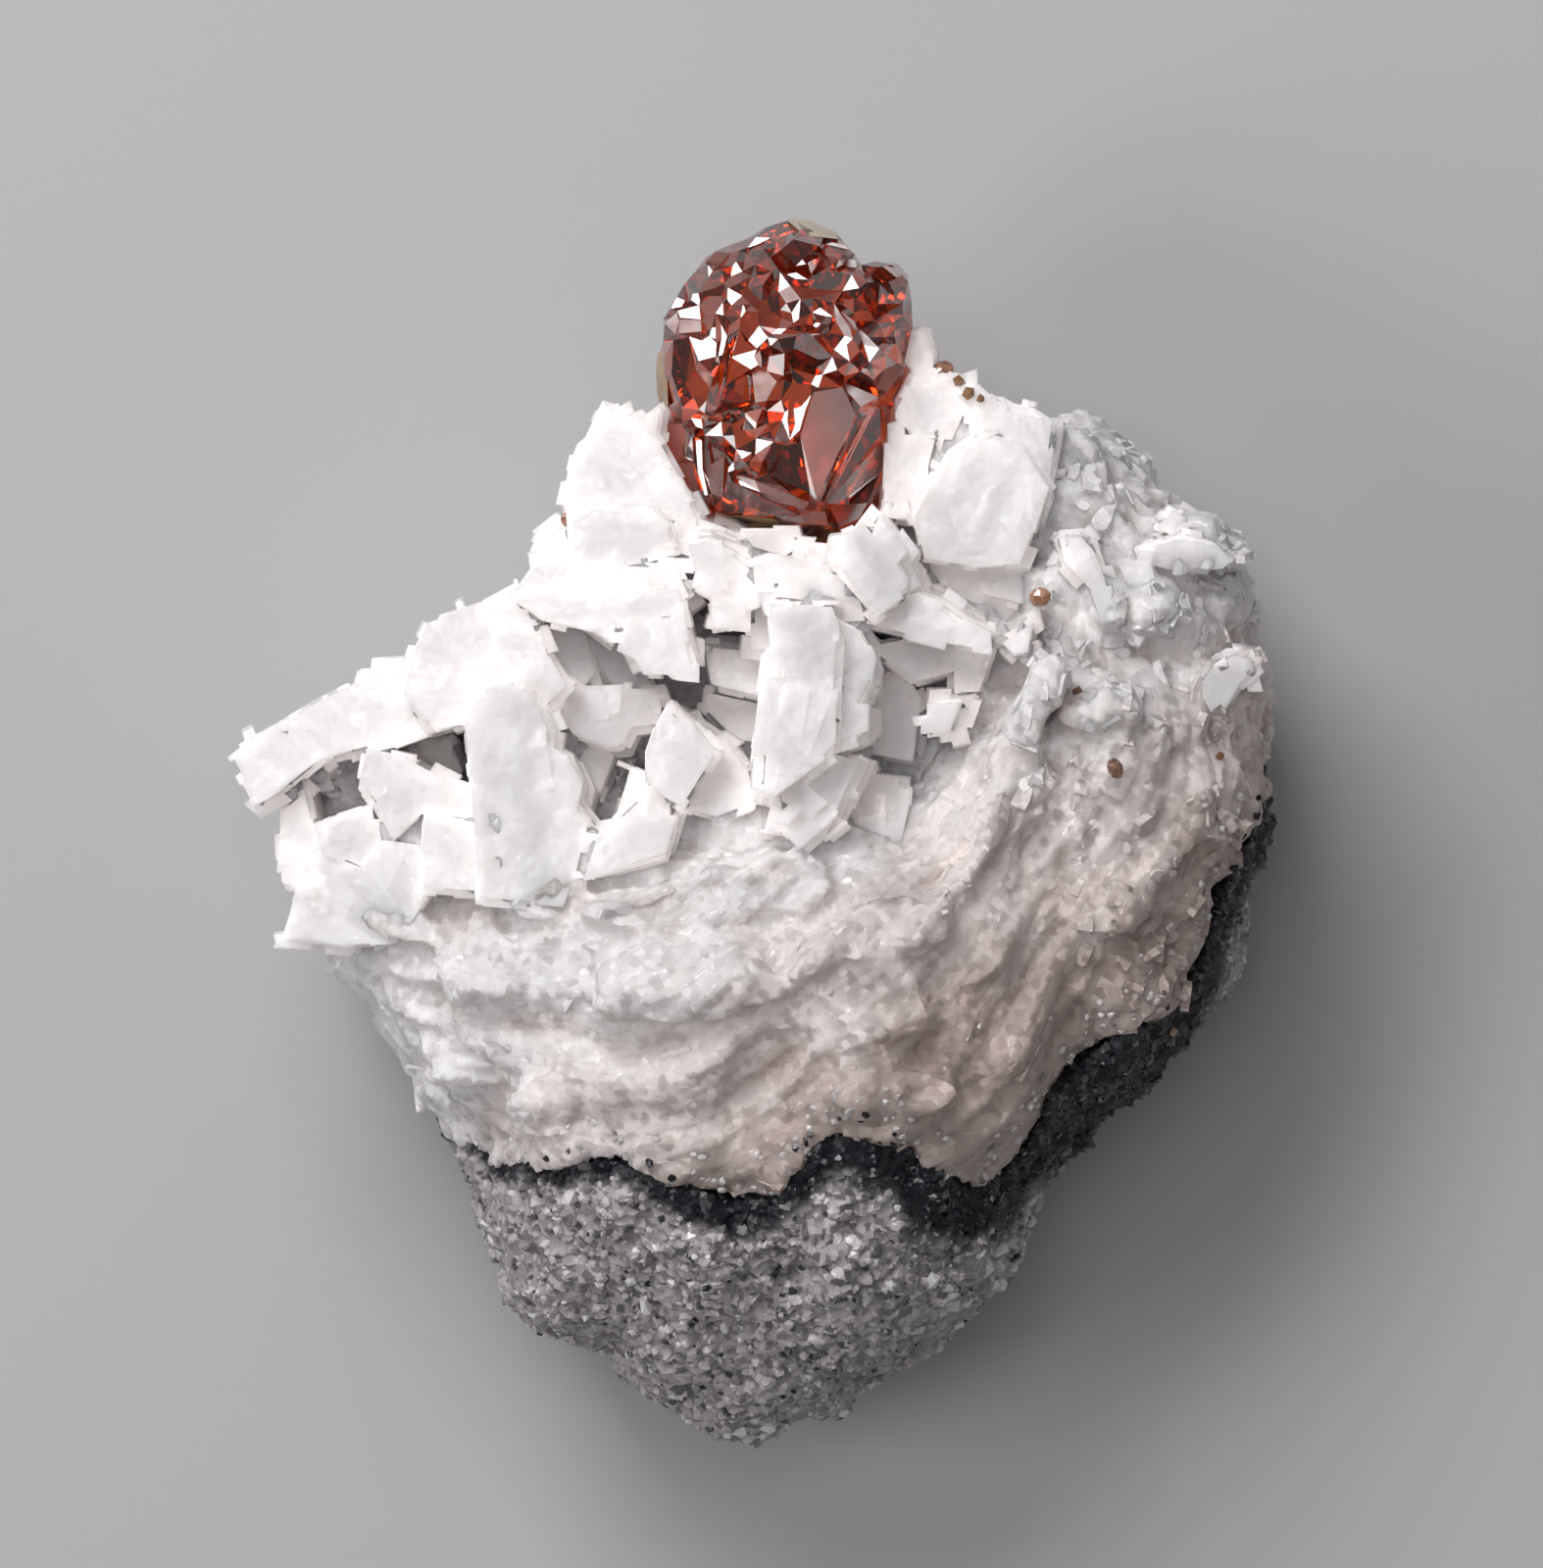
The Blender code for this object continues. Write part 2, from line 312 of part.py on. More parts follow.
# Small crystals of sphalerite seated in the dolomite: place, half sizes and turn.
SMALL_GRAINS = {
    "small_sphalerite_right": ((16.3, 13.3, 30.4), (0.72, 0.62, 0.66), 20.0),
    "small_sphalerite_left": ((-10.35, 17.75, 25.2), (0.46, 0.52, 0.5), 50.0),
    "small_sphalerite_behind": ((10.9, 26.35, 22.0), (0.72, 0.56, 0.62), 10.0),
    "brown_sphalerite_grain": ((20.5, 3.65, 32.0), (0.5, 0.72, 0.5), 25.0),
}


def remove_everything():
    """Empty the scene and its materials and meshes."""
    for obj in list(bpy.data.objects):
        bpy.data.objects.remove(obj, do_unlink=True)
    for block in (bpy.data.meshes, bpy.data.materials):
        for item in list(block):
            block.remove(item)


def make_material(name, colour, roughness, transmission=0.0):
    """A plain material with the piece's own colour."""
    material = bpy.data.materials.new(name)
    material.use_nodes = True
    material.diffuse_color = (*colour, 1.0)
    shader = material.node_tree.nodes["Principled BSDF"]
    shader.inputs["Base Color"].default_value = (*colour, 1.0)
    shader.inputs["Roughness"].default_value = roughness
    shader.inputs["Metallic"].default_value = 0.0
    shader.inputs["Transmission Weight"].default_value = transmission
    return material


def object_from(name, points, faces, material=None):
    """A closed object from points in millimetres and the faces between them."""
    mesh = bpy.data.meshes.new(name)
    mesh.from_pydata([Vector(point) * MM for point in points], [], faces)
    shape = bmesh.new()
    shape.from_mesh(mesh)
    bmesh.ops.recalc_face_normals(shape, faces=shape.faces)
    bmesh.ops.triangulate(shape, faces=shape.faces)
    shape.to_mesh(mesh)
    shape.free()
    if material is not None:
        mesh.materials.append(material)
    obj = bpy.data.objects.new(name, mesh)
    bpy.context.scene.collection.objects.link(obj)
    return obj


def make_guide(obj):
    """Keep a Boolean's tool out of the renders."""
    obj.hide_render = True
    obj.display_type = "WIRE"
    return obj


def add_boolean(target, name, tool, operation):
    """Cut or join target with one object or with a collection of them."""
    modifier = target.modifiers.new(name, "BOOLEAN")
    modifier.operation = operation
    modifier.solver = "EXACT"
    if isinstance(tool, bpy.types.Collection):
        modifier.operand_type = "COLLECTION"
        modifier.collection = tool
    else:
        modifier.object = tool
    return modifier


def blended_height(x, y, heights, reach):
    """Height at (x, y) as a smooth mean of the measured heights near it."""
    total = weights = 0.0
    for px, py, height in heights:
        weight = math.exp(-((x - px) ** 2 + (y - py) ** 2) / (2.0 * reach**2)) + FAR_SHARE
        total += weight * height
        weights += weight
    return total / weights


def distance_to_outline(x, y, outline):
    """How far (x, y) is from the nearest side of a closed outline."""
    point = Vector((x, y))
    nearest = math.inf
    for index, start in enumerate(outline):
        start = Vector(start)
        side = Vector(outline[(index + 1) % len(outline)]) - start
        share = max(0.0, min(1.0, (point - start).dot(side) / side.length_squared))
        nearest = min(nearest, (point - start - side * share).length)
    return nearest


def is_inside(x, y, outline):
    """Whether (x, y) lies inside a closed outline."""
    inside = False
    for index, (x0, y0) in enumerate(outline):
        x1, y1 = outline[(index + 1) % len(outline)]
        if (y0 > y) != (y1 > y) and x < x0 + (x1 - x0) * (y - y0) / (y1 - y0):
            inside = not inside
    return inside


def unevenness(x, y, z):
    """Broken rock's rise and fall at a place, in millimetres."""
    return ROUGHNESS * noise.noise(Vector((x, y, z)) * ROUGHNESS_PER_MM)


def rock_front_height(x, y):
    """Height of the rock's front at (x, y), rounded down towards its rim."""
    rim = blended_height(x, y, RIM_HEIGHTS, RIM_BLEND)
    front = blended_height(x, y, FRONT_HEIGHTS, FRONT_BLEND)
    inward = min(1.0, distance_to_outline(x, y, ROCK_OUTLINE) / FRONT_ROUNDING)
    return rim + (front - rim) * math.sqrt(1.0 - (1.0 - inward) ** 2)


def inner_points(outline):
    """Staggered rows of points inside the outline, away from its sides."""
    points = []
    row_height = FRONT_SPACING * math.sqrt(3.0) / 2.0
    lowest = min(y for _, y in outline)
    highest = max(y for _, y in outline)
    leftmost = min(x for x, _ in outline)
    rightmost = max(x for x, _ in outline)
    for row in range(int((highest - lowest) / row_height) + 1):
        y = lowest + row * row_height
        for column in range(int((rightmost - leftmost) / FRONT_SPACING) + 2):
            x = leftmost + (column + 0.5 * (row % 2)) * FRONT_SPACING
            if is_inside(x, y, outline) and distance_to_outline(x, y, outline) > FRONT_MARGIN:
                points.append((x, y))
    return points


def build_rock_body(name):
    """The broken lump itself: its front, its sides and the flat it lies on."""
    count = len(ROCK_OUTLINE)
    flat = [Vector(point) for point in ROCK_OUTLINE]
    flat += [Vector(point) for point in inner_points(ROCK_OUTLINE)]
    sides = [(index, (index + 1) % count) for index in range(count)]
    corners, _, triangles, sources, _, _ = delaunay_2d_cdt(
        flat, sides, [range(count)], 1, POINT_MERGE)
    points = []
    ring_of_rim = {}
    for index, corner in enumerate(corners):
        rim_index = next((source for source in sources[index] if source < count), None)
        if rim_index is None:
            height = rock_front_height(corner.x, corner.y)
            height += unevenness(corner.x, corner.y, height)
        else:
            ring_of_rim[rim_index] = index
            height = blended_height(corner.x, corner.y, RIM_HEIGHTS, RIM_BLEND)
        points.append((corner.x, corner.y, height))
    faces = [tuple(triangle) for triangle in triangles]
    ring = [ring_of_rim[index] for index in range(count)]
    for reach, rise in BACK_RINGS:
        next_ring = []
        for x, y in ROCK_OUTLINE:
            rim = blended_height(x, y, RIM_HEIGHTS, RIM_BLEND)
            out = reach + BACK_ROUGHNESS * unevenness(x, y, rim * rise)
            next_ring.append(len(points))
            points.append((BODY_CENTRE[0] + (x - BODY_CENTRE[0]) * out,
                           BODY_CENTRE[1] + (y - BODY_CENTRE[1]) * out, rim * rise))
        for index in range(count):
            after = (index + 1) % count
            faces.append((ring[index], ring[after], next_ring[after], next_ring[index]))
        ring = next_ring
    faces.append(tuple(ring))
    return object_from(name, points, faces)


def build_crystal(name, crystal):
    """One flat-faced crystal, its sides running back into the rock."""
    count = len(crystal.face)
    middle_x = sum(x for x, _ in crystal.face) / count
    middle_y = sum(y for _, y in crystal.face) / count
    slope_x, slope_y = crystal.slope
    lean_x, lean_y = crystal.lean
    front = []
    back = []
    for x, y in crystal.face:
        height = crystal.height + slope_x * (x - middle_x) + slope_y * (y - middle_y)
        front.append((x, y, height))
        back.append((middle_x + (x - middle_x) * crystal.spread + lean_x * crystal.depth,
                     middle_y + (y - middle_y) * crystal.spread + lean_y * crystal.depth,
                     height - crystal.depth))
    faces = [tuple(range(count)), tuple(range(2 * count - 1, count - 1, -1))]
    for index in range(count):
        after = (index + 1) % count
        faces.append((index, after, count + after, count + index))
    return object_from(name, front + back, faces)


def build_crystals():
    """All the dolomite crystals and ledges, in one collection for the union."""
    group = bpy.data.collections.new("crystals_to_join")
    bpy.context.scene.collection.children.link(group)
    regions = {"left": LEFT_CRYSTALS, "middle": MIDDLE_CRYSTALS, "top": TOP_CRYSTALS,
               "right": RIGHT_CRYSTALS, "ledge": LOWER_LEDGES}
    for region, crystals in regions.items():
        for number, crystal in enumerate(crystals, 1):
            obj = make_guide(build_crystal(f"guide_{region}_{number:02d}", crystal))
            bpy.context.scene.collection.objects.unlink(obj)
            group.objects.link(obj)
    return group


def seam_y(x, z):
    """Where the top of the host rock lies at (x, z)."""
    for (x0, y0, z0), (x1, y1, z1) in zip(SEAM_FRONT, SEAM_FRONT[1:]):
        if x0 <= x <= x1:
            share = (x - x0) / (x1 - x0)
            break
    front_y = y0 + (y1 - y0) * share
    front_z = z0 + (z1 - z0) * share
    bump = SEAM_BUMP * noise.noise(Vector((x, 0.0, z)) * SEAM_BUMPS_PER_MM)
    return front_y + SEAM_DIP * (front_z - z) + bump


def build_host_block(name, offset):
    """The space on the host rock's side of the seam, as a tool for Booleans."""
    left, right = HOST_BLOCK_X
    low, high = HOST_BLOCK_Z
    columns = int((right - left) / SEAM_STEP)
    rows = int((high - low) / (2.0 * SEAM_STEP))
    points = []
    for row in range(rows + 1):
        z = low + (high - low) * row / rows
        for column in range(columns + 1):
            x = left + (right - left) * column / columns
            points.append((x, seam_y(x, z) + offset, z))
    top = len(points)
    points += [(x, HOST_BLOCK_LOW_Y, z) for x, _, z in points]
    width = columns + 1
    faces = []
    for row in range(rows):
        for column in range(columns):
            corner = row * width + column
            near = (corner, corner + 1, corner + width + 1, corner + width)
            faces.append(near)
            faces.append(tuple(top + index for index in reversed(near)))
    edge = list(range(width))
    edge += [row * width + columns for row in range(1, rows + 1)]
    edge += [rows * width + column for column in range(columns - 1, -1, -1)]
    edge += [row * width for row in range(rows - 1, 0, -1)]
    for index, start in enumerate(edge):
        end = edge[(index + 1) % len(edge)]
        faces.append((start, end, top + end, top + start))
    return make_guide(object_from(name, points, faces))


def build_gem(name, material, growth=0.0):
    """The big sphalerite crystal, grown on all sides by about an amount in millimetres."""
    count = len(GEM_OUTLINE)
    flat = [Vector(point) for point in GEM_OUTLINE]
    flat += [Vector((x, y)) for x, y, _ in GEM_FRONT]
    sides = [(index, (index + 1) % count) for index in range(count)]
    corners, _, triangles, sources, _, _ = delaunay_2d_cdt(
        flat, sides, [range(count)], 1, POINT_MERGE)
    points = []
    ring = [0] * count
    for index, corner in enumerate(corners):
        source = sources[index][0]
        if source < count:
            ring[source] = index
            points.append((corner.x, corner.y, GEM_RIM_HEIGHT))
        else:
            points.append((corner.x, corner.y, GEM_FRONT[source - count][2]))
    faces = [tuple(triangle) for triangle in triangles]

    centre_x, centre_y, _ = GEM_CENTRE
    back_ring = []
    for x, y in GEM_OUTLINE[::2]:
        back_ring.append(len(points))
        points.append((centre_x + (x - centre_x) * GEM_BACK_RING_REACH,
                       centre_y + (y - centre_y) * GEM_BACK_RING_REACH,
                       GEM_BACK_RING_HEIGHT))
    tip = len(points)
    points.append(GEM_BACK_TIP)
    for index, near in enumerate(back_ring):
        after = back_ring[(index + 1) % len(back_ring)]
        first, middle, last = (ring[(2 * index + step) % count] for step in range(3))
        faces += [(first, middle, near), (middle, last, after), (middle, after, near),
                  (near, after, tip)]

    centre = Vector(GEM_CENTRE)
    share = 1.0 + growth / GEM_LEAST_RADIUS
    grown = [centre + (Vector(point) - centre) * share for point in points]
    return object_from(name, grown, faces, material)


def build_grain(name, place, half_sizes, turn, material, growth=0.0):
    """A small many-faced crystal."""
    shape = bmesh.new()
    bmesh.ops.create_icosphere(shape, subdivisions=1, radius=1.0)
    angle = math.radians(turn)
    points = []
    for vertex in shape.verts:
        x, y, z = (value * (half + growth) for value, half in zip(vertex.co, half_sizes))
        points.append((place[0] + x * math.cos(angle) - y * math.sin(angle),
                       place[1] + x * math.sin(angle) + y * math.cos(angle), place[2] + z))
    faces = [tuple(vertex.index for vertex in face.verts) for face in shape.faces]
    shape.free()
    return object_from(name, points, faces, material)


def build_specimen():
    """Put the specimen together."""
    white = make_material("white_dolomite", (0.86, 0.83, 0.82), 0.4)
    grey = make_material("grey_dolostone", (0.24, 0.23, 0.24), 0.6)
    red = make_material("red_sphalerite", (0.45, 0.05, 0.02), 0.05, 0.8)
    brown = make_material("brown_sphalerite", (0.35, 0.13, 0.05), 0.2)

    crystals = build_crystals()
    build_gem("sphalerite_crystal", red)
    sockets = bpy.data.collections.new("sockets_to_cut")
    bpy.context.scene.collection.children.link(sockets)
    cutters = [build_gem("guide_gem_socket", None, GEM_GAP)]
    for name, (place, half_sizes, turn) in SMALL_GRAINS.items():
        build_grain(name, place, half_sizes, turn, brown)
        cutters.append(build_grain(f"guide_{name}", place, half_sizes, turn, None, GRAIN_GAP))
    for cutter in cutters:
        make_guide(cutter)
        bpy.context.scene.collection.objects.unlink(cutter)
        sockets.objects.link(cutter)

    crust = build_rock_body("dolomite_crystals")
    crust.data.materials.append(white)
    add_boolean(crust, "join_crystals", crystals, "UNION")
    add_boolean(crust, "part_from_host", build_host_block("guide_host_wide", JOINT_GAP), "DIFFERENCE")
    add_boolean(crust, "cut_sockets", sockets, "DIFFERENCE")

    host = build_rock_body("dolostone_matrix")
    host.data.materials.append(grey)
    add_boolean(host, "part_from_crust", build_host_block("guide_host", 0.0), "INTERSECT")


remove_everything()
build_specimen()
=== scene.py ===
"""Sphalerite on dolomite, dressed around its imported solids.

The specimen lies on its broken back: +Z points out of its crystal-covered front, +Y towards
the red sphalerite at its top end and +X to the right. Tables and sizes are in millimetres in
that frame, and MM turns them into Blender's metres.
"""

from __future__ import annotations

import logging
import math
import random
from collections.abc import Callable
from dataclasses import dataclass
from enum import Enum

import bpy
from mathutils import Matrix, Vector, noise
from mathutils.geometry import delaunay_2d_cdt

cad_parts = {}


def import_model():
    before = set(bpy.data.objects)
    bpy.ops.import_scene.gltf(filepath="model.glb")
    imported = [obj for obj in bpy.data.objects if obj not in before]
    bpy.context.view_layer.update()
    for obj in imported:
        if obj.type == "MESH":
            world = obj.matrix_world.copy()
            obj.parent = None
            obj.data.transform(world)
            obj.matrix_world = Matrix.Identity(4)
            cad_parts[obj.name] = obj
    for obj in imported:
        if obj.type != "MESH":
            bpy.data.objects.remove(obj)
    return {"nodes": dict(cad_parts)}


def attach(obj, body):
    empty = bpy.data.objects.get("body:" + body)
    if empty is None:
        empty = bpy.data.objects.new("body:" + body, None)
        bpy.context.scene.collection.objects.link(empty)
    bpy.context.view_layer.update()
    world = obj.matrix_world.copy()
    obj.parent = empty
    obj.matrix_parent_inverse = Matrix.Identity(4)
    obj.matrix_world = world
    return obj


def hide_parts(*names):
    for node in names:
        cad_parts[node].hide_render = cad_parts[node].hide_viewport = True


MM = 0.001
NOISE_SEED = 7
log = logging.getLogger("specimen")

Point = tuple[float, float]
Outline = tuple[Point, ...]
Colour = tuple[float, float, float]


# Selecting, modifiers and mesh helpers.

def deselect_all() -> None:
    """Leave nothing selected, so that the next operator acts on its own object alone."""
    for obj in list(bpy.context.selected_objects):
        obj.select_set(False)


def activate(obj: bpy.types.Object) -> None:
    """Select one object alone and make it the active one.

    Args:
        obj: The object.
    """
    deselect_all()
    obj.select_set(True)
    bpy.context.view_layer.objects.active = obj


def apply_modifier(obj: bpy.types.Object, kind: str, **settings: object) -> None:
    """Add a modifier, set it up and apply it.

    Args:
        obj: The object to change.
        kind: Blender's name for the kind of modifier.
        settings: The modifier's values by name.
    """
    modifier = obj.modifiers.new(kind.lower(), kind)
    for name, value in settings.items():
        setattr(modifier, name, value)
    activate(obj)
    bpy.ops.object.modifier_apply(modifier=modifier.name)


def shade_by_angle(obj: bpy.types.Object, degrees: float) -> None:
    """Shade smooth, but keep edges sharper than an angle in degrees."""
    activate(obj)
    bpy.ops.object.shade_smooth_by_angle(angle=math.radians(degrees))


def copy_of_solid(node: str, name: str) -> bpy.types.Object:
    """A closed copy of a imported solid.

    Args:
        node: The solid's node.
        name: The new piece's name.

    Returns:
        The copy, its loose triangles merged and its materials taken off.
    """
    mesh = bpy.data.objects[node].data.copy()
    mesh.materials.clear()
    obj = bpy.data.objects.new(name, mesh)
    bpy.context.scene.collection.objects.link(obj)
    activate(obj)
    bpy.ops.object.mode_set(mode="EDIT")
    bpy.ops.mesh.select_all(action="SELECT")
    bpy.ops.mesh.remove_doubles(threshold=0.002 * MM)
    bpy.ops.object.mode_set(mode="OBJECT")
    return obj


def sculpt(obj: bpy.types.Object, relief: Callable[[Vector, Vector], float]) -> None:
    """Move every vertex along its normal.

    Args:
        obj: The object to shape.
        relief: How far to move, in millimetres, from a place in millimetres and the normal.
    """
    vertices = obj.data.vertices
    normals = [vertex.normal.copy() for vertex in vertices]
    for vertex, normal in zip(vertices, normals):
        vertex.co += normal * (relief(vertex.co / MM, normal) * MM)
    obj.data.update()


# Reliefs of broken and grown mineral surfaces.

def ramp(value: float, low: float, high: float) -> float:
    """A smooth step from 0 at low to 1 at high."""
    share = max(0.0, min(1.0, (value - low) / (high - low)))
    return share * share * (3.0 - 2.0 * share)


@dataclass(frozen=True)
class Breakage:
    """A surface broken into facets, a plane with its own lean in each cell.

    The size is about how wide one facet is, in millimetres, the tilt how steeply facets lean, as a
    slope, and soft how wide the step between two facets is, as a share of the size.
    """

    size: float
    tilt: float
    soft: float = 0.3

    def height(self, place: Vector) -> float:
        """Height of the surface.

        Args:
            place: The place in millimetres.

        Returns:
            The height in millimetres.
        """
        spot = place / self.size
        distances, centres = noise.voronoi(spot)[:2]
        leans = (noise.cell_vector(centre * 31.7) - Vector((0.5, 0.5, 0.5)) for centre in centres[:2])
        first, second = ((spot - centre).dot(lean) for centre, lean in zip(centres, leans))
        share = max(0.0, 0.5 - 0.5 * (distances[1] - distances[0]) / self.soft)
        return (first + (second - first) * share) * 2.0 * self.tilt * self.size


def rounded_grain(place: Vector, size: float) -> float:
    """Height of a surface packed with rounded grains, from 0 in the cracks to 1."""
    distances = noise.voronoi(place / size)[0]
    return ramp(distances[1] - distances[0], 0.0, 0.45)


def distance_inside(x: float, y: float, outline: Outline) -> float:
    """Distance from (x, y) to a closed outline, above 0 inside it and below 0 outside.

    Args:
        x: Where it is along X, in millimetres.
        y: Where it is along Y, in millimetres.
        outline: The outline's corners, in order.

    Returns:
        The distance in millimetres.
    """
    nearest = math.inf
    inside = False
    for index, (x0, y0) in enumerate(outline):
        x1, y1 = outline[(index + 1) % len(outline)]
        side_x, side_y = x1 - x0, y1 - y0
        share = ((x - x0) * side_x + (y - y0) * side_y) / (side_x**2 + side_y**2)
        share = max(0.0, min(1.0, share))
        nearest = min(nearest, math.hypot(x - x0 - share * side_x, y - y0 - share * side_y))
        if (y0 > y) != (y1 > y) and x < x0 + side_x * (y - y0) / side_y:
            inside = not inside
    return nearest if inside else -nearest


# Small pieces, joined in one mesh.

class Bits:
    """A joined mesh of many small faceted pieces, each with a shade of its own."""

    def __init__(self, seed: int) -> None:
        """Start empty, with a seed of its own.

        Args:
            seed: The seed of its draws.
        """
        self.random = random.Random(seed)
        self.points: list[Vector] = []
        self.faces: list[tuple[int, ...]] = []
        self.shades: list[float] = []

    def add(self, points: list[Vector], faces: tuple[tuple[int, ...], ...], shade: float) -> None:
        """Add one piece.

        Args:
            points: Its corners in millimetres.
            faces: Its faces, counted from its own first corner.
            shade: Its shade, from 0 to 1.
        """
        start = len(self.points)
        self.points += points
        self.faces += [tuple(start + index for index in face) for face in faces]
        self.shades += [shade] * len(faces)

    def add_flake(self, place: Vector, long_axis: Vector, normal: Vector, size: Vector,
                  shade: float) -> None:
        """Add a skewed thin plate.

        Args:
            place: Its middle in millimetres.
            long_axis: The direction of its length.
            normal: The direction of its thickness.
            size: Its length, width and thickness in millimetres.
            shade: Its shade, from 0 to 1.
        """
        draw = self.random
        across = normal.cross(long_axis).normalized()
        skew = draw.uniform(-0.3, 0.3)
        rim = [(-0.5, draw.uniform(-0.5, -0.2)), (draw.uniform(-0.3, 0.0), -0.5),
               (0.5, draw.uniform(-0.5, -0.1)), (0.5, draw.uniform(0.1, 0.4)),
               (draw.uniform(0.0, 0.4), 0.5), (draw.uniform(-0.5, -0.3), 0.4)]
        points = []
        for level in (-0.5, 0.5):
            for along, side in rim:
                reach = along + skew * side * size.y / size.x
                points.append(place + long_axis * (size.x * reach) + across * (size.y * side)
                              + normal * (size.z * level))
        self.add(points, PLATE_FACES, shade)

    def add_grain(self, place: Vector, radius: float, shade: float, flat: float = 1.0) -> None:
        """Add a rounded grain with many faces.

        Args:
            place: Its middle in millimetres.
            radius: Its radius in millimetres.
            shade: Its shade, from 0 to 1.
            flat: How thick it is along its own axis, as a share.
        """
        draw = self.random
        turn = Vector((draw.gauss(0, 1), draw.gauss(0, 1), draw.gauss(0, 1))).to_track_quat("Z", "Y")
        points = []
        for corner in GRAIN_CORNERS:
            spot = corner * draw.uniform(0.78, 1.2)
            spot.z *= flat
            points.append(place + turn @ spot * radius)
        self.add(points, GRAIN_FACES, shade)

    def build(self, name: str, finish: bpy.types.Material) -> bpy.types.Object:
        """Make the joined mesh.

        Args:
            name: The piece's name.
            finish: Its material.

        Returns:
            The piece.
        """
        mesh = bpy.data.meshes.new(name)
        mesh.from_pydata([point * MM for point in self.points], [], self.faces)
        mesh.attributes.new("shade", "FLOAT", "FACE").data.foreach_set("value", self.shades)
        mesh.materials.append(finish)
        piece = bpy.data.objects.new(name, mesh)
        bpy.context.scene.collection.objects.link(piece)
        return piece


PLATE_FACES = ((5, 4, 3, 2, 1, 0), (6, 7, 8, 9, 10, 11), (0, 1, 7, 6), (1, 2, 8, 7), (2, 3, 9, 8),
               (3, 4, 10, 9), (4, 5, 11, 10), (5, 0, 6, 11))
WEDGE_FACES = ((0, 1, 2), (5, 4, 3), (1, 4, 5, 2), (0, 3, 4, 1), (2, 5, 3, 0))
GRAIN_CORNERS = tuple(
    Vector((x, y, z)).normalized() for x, y, z in (
        (0.0, 0.0, 1.0), (0.9, 0.2, 0.45), (0.1, 0.9, 0.45), (-0.9, 0.3, 0.45), (-0.2, -0.9, 0.45),
        (0.6, 0.7, -0.45), (-0.6, 0.7, -0.45), (-0.7, -0.6, -0.45), (0.7, -0.6, -0.45),
        (0.0, 0.0, -1.0)))
GRAIN_FACES = (
    (0, 1, 2), (0, 2, 3), (0, 3, 4), (0, 4, 1), (1, 5, 2), (2, 6, 3), (2, 5, 6), (3, 7, 4),
    (3, 6, 7), (4, 8, 1), (4, 7, 8), (1, 8, 5), (5, 9, 6), (6, 9, 7), (7, 9, 8), (8, 9, 5),
)


def spots_on(obj: bpy.types.Object, count: int, seed: int) -> list[tuple[Vector, Vector]]:
    """Places spread evenly over a surface.

    Args:
        obj: The object.
        count: How many places.
        seed: The seed of the draw.

    Returns:
        Each place in millimetres, with its normal.
    """
    draw = random.Random(seed)
    mesh = obj.data
    areas = [face.area for face in mesh.polygons]
    spots = []
    for index in draw.choices(range(len(areas)), areas, k=count):
        face = mesh.polygons[index]
        corners = [mesh.vertices[vertex].co for vertex in face.vertices]
        shares = [draw.random() + 0.05 for _ in corners]
        place = sum((corner * share for corner, share in zip(corners, shares)), Vector())
        spots.append((place / sum(shares) / MM, face.normal.copy()))
    return spots


# Shader helpers.

